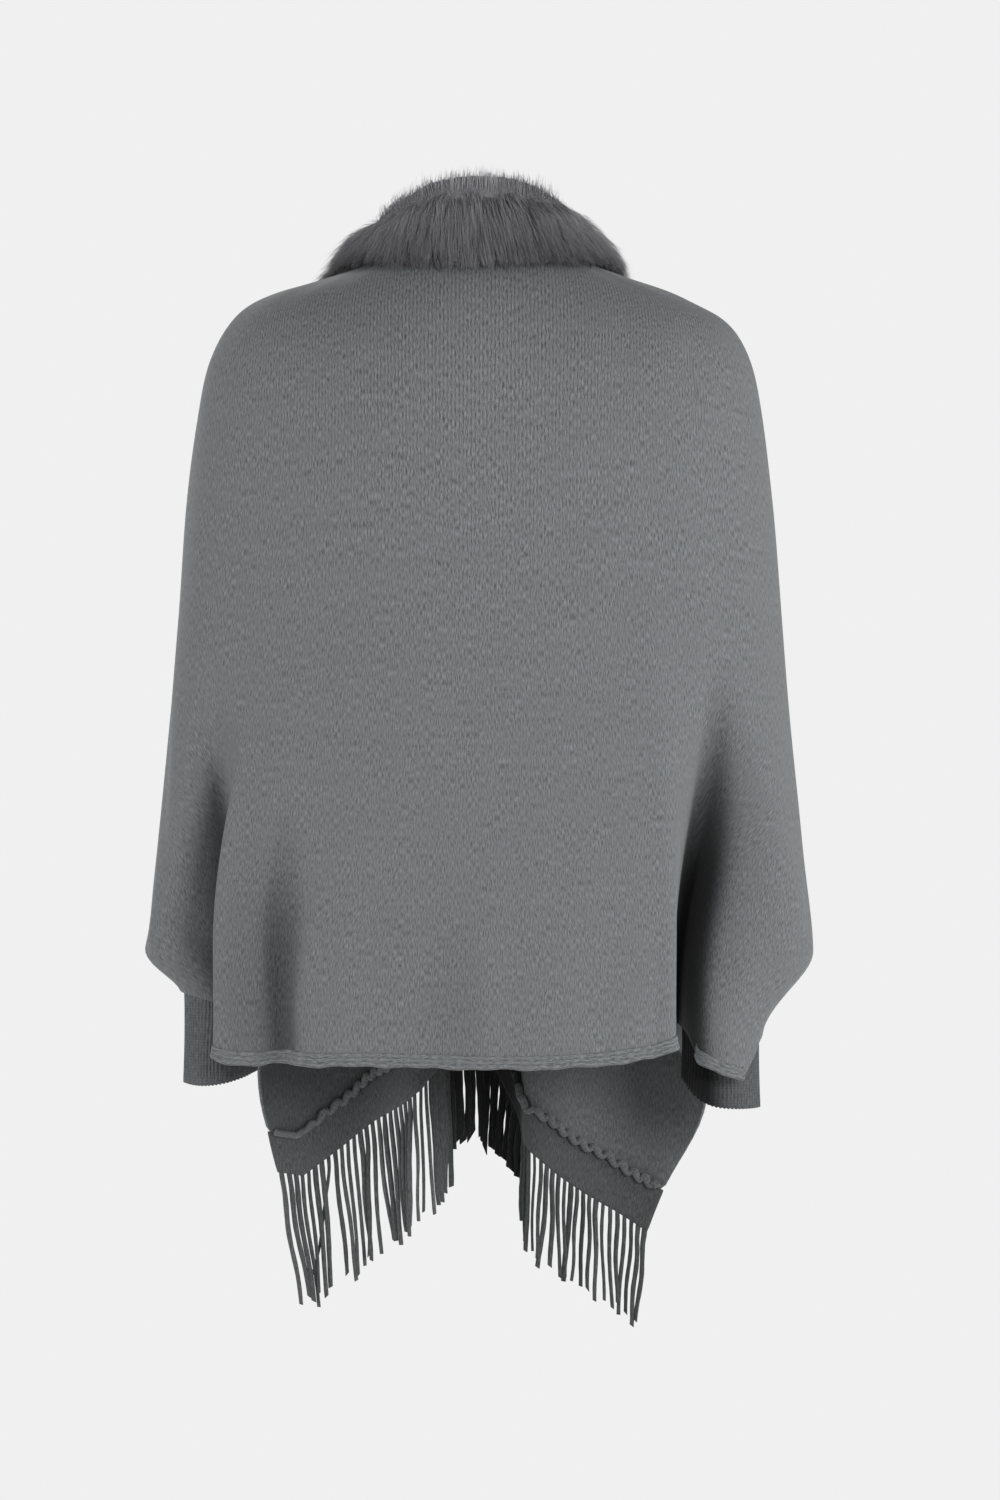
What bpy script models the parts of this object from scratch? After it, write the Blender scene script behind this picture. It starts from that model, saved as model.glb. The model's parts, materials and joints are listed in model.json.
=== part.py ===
"""A knitted poncho sweater as it hangs when worn: a wide back and two long open fronts that cover
the arms, ribbed cuffs, a rolled back hem, a fur shawl collar, and fringe trims on the slanting
fronts. Each piece that is cut and sewn is its own closed wall.

+Z is up, the wearer faces -Y, and +X is the wearer's left. The origin is the middle of the neck
opening. Tables are in millimetres and degrees; the meshes are in metres.

The angle runs round the body: -88 is the edge of the left front, 0 the outside of the left arm,
90 the middle of the back, 180 the outside of the right arm and 268 the edge of the right front.
The ring runs down the body: 0 is the neck seam, and from ring 10 down a ring is 60 mm of height.
"""

import math

import bmesh
import bpy
import numpy as np

METRES = 0.001

# ---------------------------------------------------------------- driving sizes, millimetres
CLOTH = 2.4  # thickness of the knit
SEAM = 0.3  # space between two pieces that are sewn together
FRONT_EDGE = 88.0  # the angle at which both front edges hang, below the chest

HEM_HEIGHT = 15.0  # rolled hem on the back's lower edge
HEM_ROLL = 3.4
HEMS = {"back_hem": (27.0, 141.0), "sleeve_hem": (154.0, 167.0)}  # from angle to angle

BAND_HEIGHT = 33.0  # plain strip between a front and its fringe
ROOT_HEIGHT = 5.0  # narrow strip that the strands grow from
STRAND_PITCH = 6.6
STRAND_WIDTH = 4.9
STRAND_THICK = 1.9
STRAND_JOINTS = 4
STRAND_NARROWS = 0.18  # share of a strand's width that is lost towards its end
STRAND_TWIST, STRAND_SWAY, STRAND_FORTH = 0.5, 0.9, 1.3  # most twist, and most swing at the end
ROOT_DEPTH = 0.2  # the strip of roots lies this far behind the cloth's outer face

# Angles of each trim from its front's outer corner to the front edge, the share of its width that
# is lost where the strands begin, the strands' length, and how far they lean in. Past the crest of
# the front's inward fold the strands are cut shorter: the last columns are the crest's angle, and
# the share of their length that is left just past it and at the front edge.
TRIM_COLUMNS = ("outer", "edge", "narrows", "strand", "lean", "crest", "short", "short_edge")
TRIMS = {
    "left": (-33.0, -FRONT_EDGE, 0.045, 100.0, 0.12, -75.5, 0.66, 0.88),
    "right": (218.5, 180.0 + FRONT_EDGE, 0.075, 75.0, 0.05, 251.6, 0.44, 1.0),
}

BRAID_RADIUS = 2.3
BRAID_WAVE = 13.0  # length of one wave of the braid
BRAID_SWING = 2.6

CUFF_WALL = 2.2
CUFF_RIBS = 50
CUFF_RIB_RISE = 0.8
CUFF_TOP_DRAWN, CUFF_WAIST_DRAWN = 0.4, 0.9  # how far the rib draws its top and its waist in

COLLAR_LIFT = 2.2  # the collar clears the cloth under it by this much, and its seam by less
COLLAR_SEAM_LIFT = 1.1
COLLAR_OUTWARD = 1.15  # how much the pile stands out of the cloth where it isn't upright
COLLAR_LOCKS = 23
COLLAR_LOCK_RISE = 0.07  # as a share of the collar's height

COLOURS = {  # linear colour and roughness of each finish
    "knit": ((0.168, 0.174, 0.178), 0.92),
    "rib": ((0.150, 0.155, 0.160), 0.92),
    "fur": ((0.085, 0.085, 0.090), 0.85),
    "fringe": ((0.085, 0.089, 0.092), 0.90),
}

# Rings from the neck down. side_x and side_z place the outside of the arm, back and front the
# middle of the back and of the front. square is the exponent of the oval, and edge the angle, from
# the side, at which the front ends.
RING_COLUMNS = ("side_x", "side_z", "back_y", "back_z", "front_y", "front_z", "square", "edge")
RINGS = (
    (75, -12, 72, -5, 56, -46, 2.00, 46),  # neck seam
    (118, -25, 107, -42, 90, -92, 2.05, 62),
    (162, -38, 125, -90, 118, -145, 2.10, 74),  # yoke
    (191, -56, 134, -140, 136, -195, 2.20, 81),
    (210, -88, 139, -190, 144, -243, 2.25, 85),  # top of the arm
    (220, -135, 141, -240, 147, -290, 2.30, 87),
    (228, -200, 142, -300, 148, -340, 2.32, 88),
    (235, -290, 143, -365, 147, -393, 2.35, 88),
    (243, -385, 144, -430, 146, -443, 2.35, 88),
    (251, -465, 145, -487, 145, -492, 2.35, 88),
    (259, -540, 146, -540, 144, -540, 2.35, 88),  # elbow
    (259, -600, 147, -600, 143, -600, 2.35, 88),
    (257, -660, 147, -660, 143, -660, 2.35, 88),
    (255, -720, 147, -720, 143, -720, 2.35, 88),
    (253, -780, 147, -780, 143, -780, 2.35, 88),
    (251, -840, 147, -840, 143, -840, 2.35, 88),
)
LEVEL_RING, LEVEL_Z, LEVEL_STEP = 10, -540.0, 60.0

# Where the cloth hangs low down, in order round the body: x and y once the drape is full, the
# heights at which it starts and is full, and the height at which the cloth ends.
STATION_COLUMNS = ("angle", "x", "y", "starts", "full", "hem")
STATIONS = (
    (-88, 4.5, -150, -300, -560, -582),  # left front's edge
    (-80, 20, -139, -300, -560, -598),
    (-73, 35, -112, -300, -560, -613),
    (-68.3, 45, -91, -300, -560, -623),
    (-66, 50, -86.5, -300, -560, -630),  # crest of the left front's inward fold
    (-64, 55.5, -88.5, -300, -560, -635),
    (-58, 80, -116, -300, -560, -652),
    (-51, 103, -128, -300, -560, -668),
    (-44, 129, -123, -320, -570, -687),
    (-38, 151, -112, -340, -580, -702),
    (-33, 171, -98, -340, -590, -698),  # left front's outer corner
    (-30, 177, -86, -320, -600, -668),
    (-27.5, 177, -68, -300, -600, -640),
    (-25, 170, -38, -300, -600, -618),
    (-23.2, 162.5, -12, -300, -600, -602),  # inside of the left wrist, front
    (-21.2, 171, -9, -300, -600, -599),
    (-18, 180, -26, -340, -600, -594),
    (-13, 202, -33, -470, -598, -588),
    (-6.5, 224, -22, -532, -590, -581),
    (0, 233, 5, -546, -578, -577),  # outside of the left wrist
    (6.5, 224, 32, -532, -590, -580),
    (13, 202, 42, -470, -598, -586),
    (18, 180, 34, -340, -600, -590),
    (21.2, 171, 16, -300, -600, -594),
    (23.2, 162.5, 18, -300, -600, -597),  # inside of the left wrist, back
    (25.5, 165, 52, -300, -600, -606),
    (28.5, 180, 86, -300, -580, -617),
    (31.5, 200, 104, -310, -540, -623),  # fold where the back overhangs the left sleeve
    (37, 188, 117, -310, -540, -628),
    (44, 163, 122, -310, -540, -629),
    (50, 145, 120, -400, -590, -627),  # shallow dip
    (57, 121, 133, -400, -590, -629),
    (66, 86, 138, -400, -590, -628),
    (78, 44, 142, -400, -590, -629),
    (90, 0, 147, -400, -590, -630),  # middle of the back
    (104, -46, 146, -400, -590, -630),
    (118, -90, 139, -400, -590, -628),
    (132, -130, 126, -340, -560, -623),
    (140, -149, 111, -310, -560, -616),  # fold where the back stops short of the right sleeve
    (143, -147, 86, -310, -580, -612),
    (145.7, -147, 48, -310, -590, -607),
    (148, -146, 14, -310, -590, -603),  # inside of the right wrist, back
    (150, -153.5, 12, -310, -590, -604),
    (152.3, -160, 38, -310, -590, -612),
    (155, -168, 54, -330, -590, -631),  # inner corner of the right sleeve
    (160, -185, 58, -400, -600, -640),
    (166, -202, 50, -480, -620, -646),
    (172.5, -216, 33, -534, -620, -618),
    (180, -220.4, 5, -548, -608, -606),  # outside of the right wrist
    (186.5, -212, -24, -534, -614, -606),
    (193, -190, -35, -470, -618, -606),
    (198.5, -163, -30, -340, -612, -606),
    (201.2, -153.5, -6, -300, -600, -605),  # inside of the right wrist, front
    (203.2, -146, -10, -300, -600, -607),
    (205.5, -158, -42, -300, -600, -628),
    (208.5, -178, -72, -300, -600, -655),
    (212, -180, -91, -320, -600, -677),
    (218.5, -147, -107, -340, -600, -746),  # right front's outer corner
    (226, -118, -110, -320, -600, -729),
    (235, -84, -100, -300, -580, -710),
    (242.5, -60, -89, -300, -560, -694),
    (246.8, -48.5, -83.5, -300, -560, -684),
    (249, -42.8, -83, -300, -560, -679),  # crest of the right front's inward fold
    (251.2, -38.5, -88, -300, -560, -672),
    (255, -33, -110, -300, -560, -652),
    (261, -18, -138, -300, -560, -624),
    (268, -3.5, -150, -300, -560, -602),  # right front's edge
)

# Share of each fall line, from the neck to the lower edge, at which a row of points lies.
ROWS = (0, 0.04, 0.08, 0.13, 0.19, 0.27, 0.37, 0.48, 0.59, 0.69, 0.78, 0.86, 0.93, 0.97, 1)
COLUMN_WIDTH = 16.0  # greatest distance between two columns of points

# Middle and half widths of each cuff's tube, the top, the lower edge outside and inside, how late
# it turns up towards the body (1 is evenly), and how far it sags between its sides.
CUFF_COLUMNS = ("side", "x", "y", "half_x", "half_y", "top", "low_outside", "low_inside", "turns_up",
                "sags")
CUFFS = {
    "cuff_left": (1, 202.0, 5.0, 28.6, 30.0, -568.0, -650.0, -641.0, 1.0, 5.0),
    "cuff_right": (-1, 187.4, 3.0, 30.6, 31.0, -590.0, -669.5, -647.0, 5.0, 0.0),
}

# The collar from the end of a front edge up to the nape: where its inner and outer edges lie on
# the cloth (angle from the side, ring), its height and how upright it stands. The right half is
# the same the other way round, apart from its own outer ring and height.
COLLAR_COLUMNS = ("in_angle", "in_ring", "out_angle", "out_ring", "height", "right_ring",
                  "right_height", "upright")
COLLAR = (
    (-85.5, 5.60, -80.0, 5.45, 7, 5.45, 7, 0.0),  # end on the chest
    (-83.5, 5.15, -70.0, 5.00, 19, 5.00, 19, 0.0),
    (-81.5, 4.20, -60.0, 4.00, 25, 3.95, 25, 0.0),
    (-77.0, 3.00, -48.0, 2.90, 27, 2.75, 26, 0.05),
    (-69.0, 1.80, -34.0, 2.05, 27, 1.80, 24, 0.15),
    (-58.0, 0.80, -20.0, 1.35, 24, 1.08, 18, 0.35),
    (-42.0, 0.05, -8.0, 0.86, 22, 0.78, 14, 0.60),
    (-14.0, 0.00, 10.0, 0.72, 24, 0.68, 18, 0.85),
    (14.0, 0.00, 33.0, 0.70, 31, 0.68, 29, 1.0),
    (42.0, 0.00, 54.0, 0.72, 45, 0.72, 45, 1.0),
    (66.0, 0.00, 72.0, 0.70, 56, 0.70, 56, 1.0),
    (90.0, 0.00, 90.0, 0.70, 59, 0.70, 59, 1.0),  # nape
)
# One section through the collar: place across it, from its inner to its outer edge, and height.
COLLAR_SECTION = (
    (0.00, 0.00),
    (0.35, 0.00),
    (0.70, 0.00),
    (0.94, 0.00),
    (1.10, 0.08),
    (1.12, 0.28),
    (0.98, 0.54),
    (0.74, 0.77),
    (0.42, 0.94),
    (0.10, 1.00),
    (-0.12, 0.90),
    (-0.22, 0.62),
    (-0.16, 0.28),
)


# ---------------------------------------------------------------- reading the tables
def column(table, names, name):
    return np.array([row[names.index(name)] for row in table], float)


def smooth_read(knots, values, at):
    """A smooth curve through the values at the knots, read at the given places."""
    slopes = np.gradient(values, knots)
    at = np.clip(np.asarray(at, float), knots[0], knots[-1])
    i = np.clip(np.searchsorted(knots, at, side="right") - 1, 0, len(knots) - 2)
    step = knots[i + 1] - knots[i]
    t = (at - knots[i]) / step
    rise = values[i + 1] - values[i]
    start, end = slopes[i] * step, slopes[i + 1] * step
    return values[i] + t * (start + t * (3 * rise - 2 * start - end + t * (start + end - 2 * rise)))


RING_KNOTS = np.arange(len(RINGS), dtype=float)
RING = {name: column(RINGS, RING_COLUMNS, name) for name in RING_COLUMNS}
STATION = {name: column(STATIONS, STATION_COLUMNS, name) for name in STATION_COLUMNS}


def ring(name, at):
    return smooth_read(RING_KNOTS, RING[name], at)


def station(name, angle):
    return smooth_read(STATION["angle"], STATION[name], angle)


def hem_height(angle):
    """Height of the cloth's lower edge, with crisp corners."""
    return np.interp(angle, STATION["angle"], STATION["hem"])


def ring_at(height):
    """The ring at a height below the elbow."""
    return LEVEL_RING + (LEVEL_Z - height) / LEVEL_STEP


# ---------------------------------------------------------------- the cloth's outer face
def cloth(angle, at_ring):
    """Points on the cloth's outer face, in millimetres."""
    angle, at_ring = np.broadcast_arrays(np.asarray(angle, float), np.asarray(at_ring, float))
    turn = np.radians(angle)
    c, s = np.cos(turn), np.sin(turn)
    behind = s > 0
    deep = np.where(behind, ring("back_y", at_ring), ring("front_y", at_ring))
    low = np.where(behind, ring("back_z", at_ring), ring("front_z", at_ring))
    wide, side_z, square = ring("side_x", at_ring), ring("side_z", at_ring), ring("square", at_ring)
    reach = ((np.abs(c) / wide) ** square + (np.abs(s) / deep) ** square) ** (-1 / square)
    z = side_z + (low - side_z) * s * s
    starts, full = station("starts", angle), station("full", angle)
    t = np.clip((starts - z) / (starts - full), 0, 1)
    share = t * t * (3 - 2 * t)
    x = reach * c * (1 - share) + station("x", angle) * share
    y = reach * s * (1 - share) + station("y", angle) * share
    return np.stack([x, y, z], axis=-1)


def unit(vectors):
    return vectors / np.linalg.norm(vectors, axis=-1, keepdims=True)


def cloth_frame(angle, at_ring):
    """Unit vectors at each point: along the ring, down the fall line, and out of the cloth."""
    da, dr = 0.05, 0.004
    angle = np.asarray(angle, float)
    at_ring = np.clip(at_ring, dr, RING_KNOTS[-1] - dr)
    along = unit(cloth(angle + da, at_ring) - cloth(angle - da, at_ring))
    down = unit(cloth(angle, at_ring + dr) - cloth(angle, at_ring - dr))
    return along, down, unit(np.cross(down, along))


# ---------------------------------------------------------------- meshes
def material(name):
    made = bpy.data.materials.get(name)
    if made is None:
        colour, roughness = COLOURS[name]
        made = bpy.data.materials.new(name)
        made.use_nodes = True
        shader = made.node_tree.nodes["Principled BSDF"]
        shader.inputs["Base Color"].default_value = (*colour, 1.0)
        shader.inputs["Roughness"].default_value = roughness
        shader.inputs["Metallic"].default_value = 0.0
    return made


def add_piece(name, points, faces, finish, smooth=True):
    """One closed body from points in millimetres."""
    mesh = bpy.data.meshes.new(name)
    mesh.from_pydata([tuple(p * METRES) for p in points], [], faces)
    shell = bmesh.new()
    shell.from_mesh(mesh)
    bmesh.ops.recalc_face_normals(shell, faces=shell.faces)
    if shell.calc_volume(signed=True) < 0:
        bmesh.ops.reverse_faces(shell, faces=shell.faces)
    shell.to_mesh(mesh)
    shell.free()
    mesh.materials.append(material(finish))
    piece = bpy.data.objects.new(name, mesh)
    bpy.context.scene.collection.objects.link(piece)
    if smooth:
        mesh.shade_smooth()
        mesh.set_sharp_from_angle(angle=math.radians(50))
    return piece


def wall_faces(rows, columns):
    """Faces of a wall whose outer grid comes first and whose inner grid follows."""
    inner = rows * columns
    faces = []
    for r in range(rows - 1):
        for c in range(columns - 1):
            a, b = r * columns + c, r * columns + c + 1
            d, e = a + columns, b + columns
            faces += [(a, b, e, d), (inner + a, inner + d, inner + e, inner + b)]
    rim = [(r * columns, (r + 1) * columns) for r in range(rows - 1)]
    rim += [(r * columns + columns - 1, (r + 1) * columns + columns - 1) for r in range(rows - 1)]
    rim += [(c, c + 1) for c in range(columns - 1)]
    last = (rows - 1) * columns
    rim += [(last + c, last + c + 1) for c in range(columns - 1)]
    faces += [(a, b, inner + b, inner + a) for a, b in rim]
    return faces


def loop_faces(sections, size, closed):
    """Faces of a tube through sections of the same size, with flat ends unless it closes."""
    faces = []
    for k in range(sections if closed else sections - 1):
        near, far = k * size, (k + 1) % sections * size
        for i in range(size):
            j = (i + 1) % size
            faces.append((near + i, near + j, far + j, far + i))
    if not closed:
        faces.append(tuple(range(size))[::-1])
        faces.append(tuple((sections - 1) * size + i for i in range(size)))
    return faces


# ---------------------------------------------------------------- columns of points
def columns_between(first, last):
    """Angles from first to last: each station, and enough between them for the column width."""
    marks = [first, *(a for a in STATION["angle"] if first < a < last), last]
    angles = [first]
    for a, b in zip(marks, marks[1:]):
        walk = np.linspace(a, b, 9)
        longest = max(
            np.linalg.norm(np.diff(cloth(walk, at_ring), axis=0), axis=1).sum()
            for at_ring in (8.0, 10.6)
        )
        angles += list(np.linspace(a, b, max(1, round(longest / COLUMN_WIDTH)) + 1)[1:])
    return np.array(angles)


PANELS = {
    "back_panel": columns_between(0.0, 180.0),
    "front_left": columns_between(-FRONT_EDGE, 0.0),
    "front_right": columns_between(180.0, 180.0 + FRONT_EDGE),
}


def add_panel(name):
    """A wall of cloth from the neck to its lower edge, its sides drawn back for the seams.
    The columns of a front lean out to the neck above the chest."""
    angles = PANELS[name]
    at_ring = np.outer(ROWS, ring_at(hem_height(angles)))
    angle = np.tile(angles, (len(ROWS), 1))
    if name != "back_panel":
        lean = ring("edge", at_ring) / FRONT_EDGE
        angle = np.where(angles > 90, 180 + (angle - 180) * lean, angle * lean)
    outer = cloth(angle, at_ring)
    along, _, out = cloth_frame(angle, at_ring)
    outer[:, 0] += along[:, 0] * SEAM / 2
    outer[:, -1] -= along[:, -1] * SEAM / 2
    points = np.array([outer, outer - out * CLOTH]).reshape(-1, 3)
    add_piece(name, points, wall_faces(*angle.shape), "knit")


# ---------------------------------------------------------------- rolled hem on the back
def add_hem(name):
    """A strip over the lower edge: flat against the cloth, rounded outside and below."""
    first, last = HEMS[name]
    angles = PANELS["back_panel"]
    angles = angles[(angles > first) & (angles < last)]
    edge = ring_at(hem_height(angles))
    section = (
        (-1.2, SEAM),
        (HEM_HEIGHT, SEAM),
        (HEM_HEIGHT - 1, 1.9),
        (HEM_HEIGHT / 2, 2.3),
        (2.0, HEM_ROLL),
        (-1.2, 2.4),
    )
    loops = []
    for up, out in section:
        at_ring = edge - max(up, 0) / LEVEL_STEP
        _, down, normal = cloth_frame(angles, at_ring)
        loops.append(cloth(angles, at_ring) + normal * out - down * min(up, 0))
    points = np.stack(loops, axis=1).reshape(-1, 3)
    add_piece(name, points, loop_faces(len(angles), len(section), False), "knit")


# ---------------------------------------------------------------- trims on the fronts
def trim(side):
    return dict(zip(TRIM_COLUMNS, TRIMS[side]))


def hang(side, angle, below):
    """Points of the outer face and its normals below a front's lower edge, read between the
    front's own columns."""
    cut, knots = trim(side), PANELS["front_" + side]
    share = cut["narrows"] * below / (BAND_HEIGHT + ROOT_HEIGHT)
    inward = knots + (cut["edge"] - knots) * share
    at_ring = ring_at(hem_height(knots) - below)
    _, _, out = cloth_frame(inward, at_ring)

    def read(values):
        return np.stack([np.interp(angle, knots, values[:, i]) for i in range(3)], axis=-1)

    return read(cloth(inward, at_ring)), unit(read(out))


def along_edge(side, spacing):
    """Angles an equal distance apart along a front's lower edge, outer corner first."""
    cut = trim(side)
    fine = np.linspace(cut["outer"], cut["edge"], 1500)
    steps = np.linalg.norm(np.diff(hang(side, fine, 0.0)[0], axis=0), axis=1)
    run = np.concatenate([[0], np.cumsum(steps)])
    return np.interp(np.linspace(0, run[-1], int(run[-1] / spacing) + 1), run, fine)


def add_band(side):
    """The plain strip of knit under a front, parted from it by the seam."""
    first, last = sorted(TRIMS[side][:2])
    angles = PANELS["front_" + side]
    angles = angles[(angles >= first) & (angles <= last)]
    outer, inner = [], []
    for below in (SEAM, BAND_HEIGHT / 2, BAND_HEIGHT - SEAM):
        points, out = hang(side, angles, below)
        outer.append(points)
        inner.append(points - out * CLOTH)
    points = np.array([outer, inner]).reshape(-1, 3)
    add_piece("band_" + side, points, wall_faces(3, len(angles)), "fringe")


def add_braid(side):
    """A wavy cord along the seam between a front and its band, on the inside."""
    per_wave, sides = 4, 5
    angles = along_edge(side, BRAID_WAVE / per_wave)[1:-1]
    path, out = hang(side, angles, 0.0)
    path -= out * (CLOTH + 2 * SEAM + BRAID_RADIUS)
    path[:, 2] += BRAID_SWING * np.sin(np.arange(len(angles)) * 2 * math.pi / per_wave + 0.6)
    tangent = unit(np.gradient(path, axis=0))
    across = unit(np.cross(tangent, out))
    around = np.arange(sides) * 2 * math.pi / sides
    rings = path[:, None] + BRAID_RADIUS * (
        np.cos(around)[:, None] * across[:, None]
        + np.sin(around)[:, None] * np.cross(across, tangent)[:, None]
    )
    add_piece("braid_" + side, rings.reshape(-1, 3), loop_faces(len(path), sides, False), "knit")


def strand_length(angle, index, cut):
    """A strand's length, uneven as a hand cuts it, and shorter past the front's inward fold."""
    past = (angle - cut["crest"]) / (cut["edge"] - cut["crest"])
    kept = cut["short"] + (cut["short_edge"] - cut["short"]) * past if past > 0 else 1.0
    return cut["strand"] * kept * (1 + 0.05 * math.sin(2.1 * index) + 0.03 * math.sin(5.3 * index))


def strand_corners(root, length, index, count, cut):
    """The four corners of one strand at each of its joints, below its root."""
    middle = root.mean(axis=0)
    across, depth = unit(root[1] - root[0]), unit(root[0] - root[3])
    to_middle = -math.copysign(1.0, middle[0])
    for joint in range(1, STRAND_JOINTS + 1):
        share = joint / STRAND_JOINTS
        twist = STRAND_TWIST * math.sin(1.3 * index) * share
        narrow = 1 - STRAND_NARROWS * share
        offset = root - middle
        u, v = offset @ across * narrow, offset @ depth * narrow
        turned = (
            (u * math.cos(twist) - v * math.sin(twist))[:, None] * across
            + (u * math.sin(twist) + v * math.cos(twist))[:, None] * depth
        )
        if joint < STRAND_JOINTS:
            turned[:, 2] *= 0.5
        sway = STRAND_SWAY * math.sin(1.7 * index + 0.5) * share**2 + 0.4 * math.sin(3.9 * index) * share
        forth = STRAND_FORTH * math.sin(2.9 * index + 1.1) * share**1.5
        at = middle + across * sway + depth * forth
        at[0] += to_middle * cut["lean"] * length * share * (1 - index / count)
        at[2] = middle[2] - length * share
        yield at + turned


def add_fringe(side):
    """A narrow strip with flat strands hanging from it, as one body, outer corner first."""
    cut = trim(side)
    marks = along_edge(side, STRAND_PITCH)
    middles, count = (marks[1:] + marks[:-1]) / 2, len(marks) - 1
    reach = np.diff(marks) / 2 * STRAND_WIDTH / STRAND_PITCH
    points, faces = [], []
    for angle in np.stack([middles - reach, middles + reach], axis=1).ravel():
        for below in (BAND_HEIGHT + SEAM, BAND_HEIGHT + ROOT_HEIGHT):
            face, out = hang(side, angle, below)
            points += [face - out * ROOT_DEPTH, face - out * (ROOT_DEPTH + STRAND_THICK)]
    for k in range(2 * count - 1):
        a, b = 4 * k, 4 * (k + 1)
        faces += [(a, b, b + 2, a + 2), (a + 1, a + 3, b + 3, b + 1), (a, a + 1, b + 1, b)]
        if k % 2:
            faces.append((a + 2, b + 2, b + 3, a + 3))
    end = 8 * count
    faces += [(0, 2, 3, 1), (end - 4, end - 3, end - 1, end - 2)]
    for k in range(count):
        before = (8 * k + 2, 8 * k + 6, 8 * k + 7, 8 * k + 3)
        root = np.array([points[i] for i in before])
        length = strand_length(middles[k], k, cut)
        for corners in strand_corners(root, length, k, count, cut):
            now = tuple(range(len(points), len(points) + 4))
            points += list(corners)
            for i in range(4):
                j = (i + 1) % 4
                faces.append((before[i], before[j], now[j], now[i]))
            before = now
        faces.append(before)
    add_piece("fringe_" + side, np.array(points), faces, "fringe", smooth=False)


# ---------------------------------------------------------------- cuffs
def add_cuff(name):
    cuff = dict(zip(CUFF_COLUMNS, CUFFS[name]))
    count = 2 * CUFF_RIBS
    turn = np.arange(count) * 2 * math.pi / count
    rise = np.where(np.arange(count) % 2, -CUFF_RIB_RISE, 0.0)
    inward = (1 - np.cos(turn)) / 2
    low = cuff["low_outside"] + (cuff["low_inside"] - cuff["low_outside"]) * inward ** cuff["turns_up"]
    low = low - cuff["sags"] * np.sin(turn) ** 2

    def tube(inset, height, belly):
        x = (cuff["half_x"] - inset + belly) * np.cos(turn)
        y = (cuff["half_y"] - inset + belly) * np.sin(turn)
        return np.stack([cuff["side"] * (cuff["x"] + x), cuff["y"] + y, height + 0 * turn], axis=-1)

    middle = (cuff["top"] + low) / 2
    levels = (
        tube(-rise, cuff["top"] + 0 * turn, -CUFF_TOP_DRAWN),
        tube(-rise, middle, -CUFF_WAIST_DRAWN),
        tube(-rise, low, 0.0),
        tube(CUFF_WALL, low, 0.0),
        tube(CUFF_WALL, cuff["top"] + 0 * turn, -CUFF_TOP_DRAWN),
    )
    points = np.stack(levels, axis=1).reshape(-1, 3)
    add_piece(name, points, loop_faces(count, len(levels), True), "rib")


# ---------------------------------------------------------------- collar
def collar_rows():
    """Rows of the collar's table from the left front round the nape to the right front."""
    half = np.array(COLLAR, float)
    knots = np.concatenate([[0], np.cumsum(collar_steps(half))])
    at = np.linspace(0, knots[-1], 1 + 3 * COLLAR_LOCKS // 2)
    side = np.stack([smooth_read(knots, half[:, i], at) for i in range(half.shape[1])], axis=1)
    pick = {name: side[:, COLLAR_COLUMNS.index(name)] for name in COLLAR_COLUMNS}
    left = [pick[n] for n in ("in_angle", "in_ring", "out_angle", "out_ring", "height", "upright")]
    right = [180 - pick["in_angle"], pick["in_ring"], 180 - pick["out_angle"], pick["right_ring"],
             pick["right_height"], pick["upright"]]
    return np.concatenate([np.stack(left, axis=1), np.stack(right, axis=1)[-2::-1]])


def collar_steps(half):
    """Distance between neighbouring rows of the collar's table, along the middle of the collar."""
    middle = cloth((half[:, 0] + half[:, 2]) / 2, (half[:, 1] + half[:, 3]) / 2)
    return np.linalg.norm(np.diff(middle, axis=0), axis=1)


def add_collar():
    rows = collar_rows()
    count = len(rows)
    wave = np.sin(np.arange(count) * 2 * math.pi / 3 + 0.4)
    inner = cloth(rows[:, 0], rows[:, 1])
    outer = cloth(rows[:, 2], rows[:, 3])
    height, upright = rows[:, 4], rows[:, 5]
    loops = []
    for across, high in COLLAR_SECTION:
        held = min(max(across, 0), 1)
        angle = rows[:, 0] + held * (rows[:, 2] - rows[:, 0])
        at_ring = rows[:, 1] + held * (rows[:, 3] - rows[:, 1])
        _, _, out = cloth_frame(angle, at_ring)
        lift = unit(out * (COLLAR_OUTWARD - upright)[:, None]
                    + np.array([0, 0, 1.0]) * upright[:, None])
        ridge = 1 + COLLAR_LOCK_RISE * wave * (high > 0)
        clear = COLLAR_LIFT if held else COLLAR_SEAM_LIFT
        base = cloth(angle, at_ring) + out * clear + (across - held) * (outer - inner)
        loops.append(base + lift * (height * high * ridge)[:, None])
    points = np.stack(loops, axis=1).reshape(-1, 3)
    add_piece("collar", points, loop_faces(count, len(COLLAR_SECTION), False), "fur")


# ---------------------------------------------------------------- the garment
def main():
    for old in list(bpy.data.objects):
        bpy.data.objects.remove(old)
    for name in PANELS:
        add_panel(name)
    for name in HEMS:
        add_hem(name)
    for side in TRIMS:
        add_band(side)
        add_braid(side)
        add_fringe(side)
    for name in CUFFS:
        add_cuff(name)
    add_collar()


main()
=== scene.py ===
# %% [markdown]
# # A knitted poncho sweater with a fur collar
# The garment hangs as it is worn, with nobody in it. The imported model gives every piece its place,
# and this script gives each one its finish: knitted cloth with soft creases, ribs, a rolled hem,
# stitches, a fringe of flat strands and a long fur pile. Everything is in metres, +Z is up, the
# wearer faces -Y, and the origin is the middle of the neck opening.

# %% Load the frame
import json
import math

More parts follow.
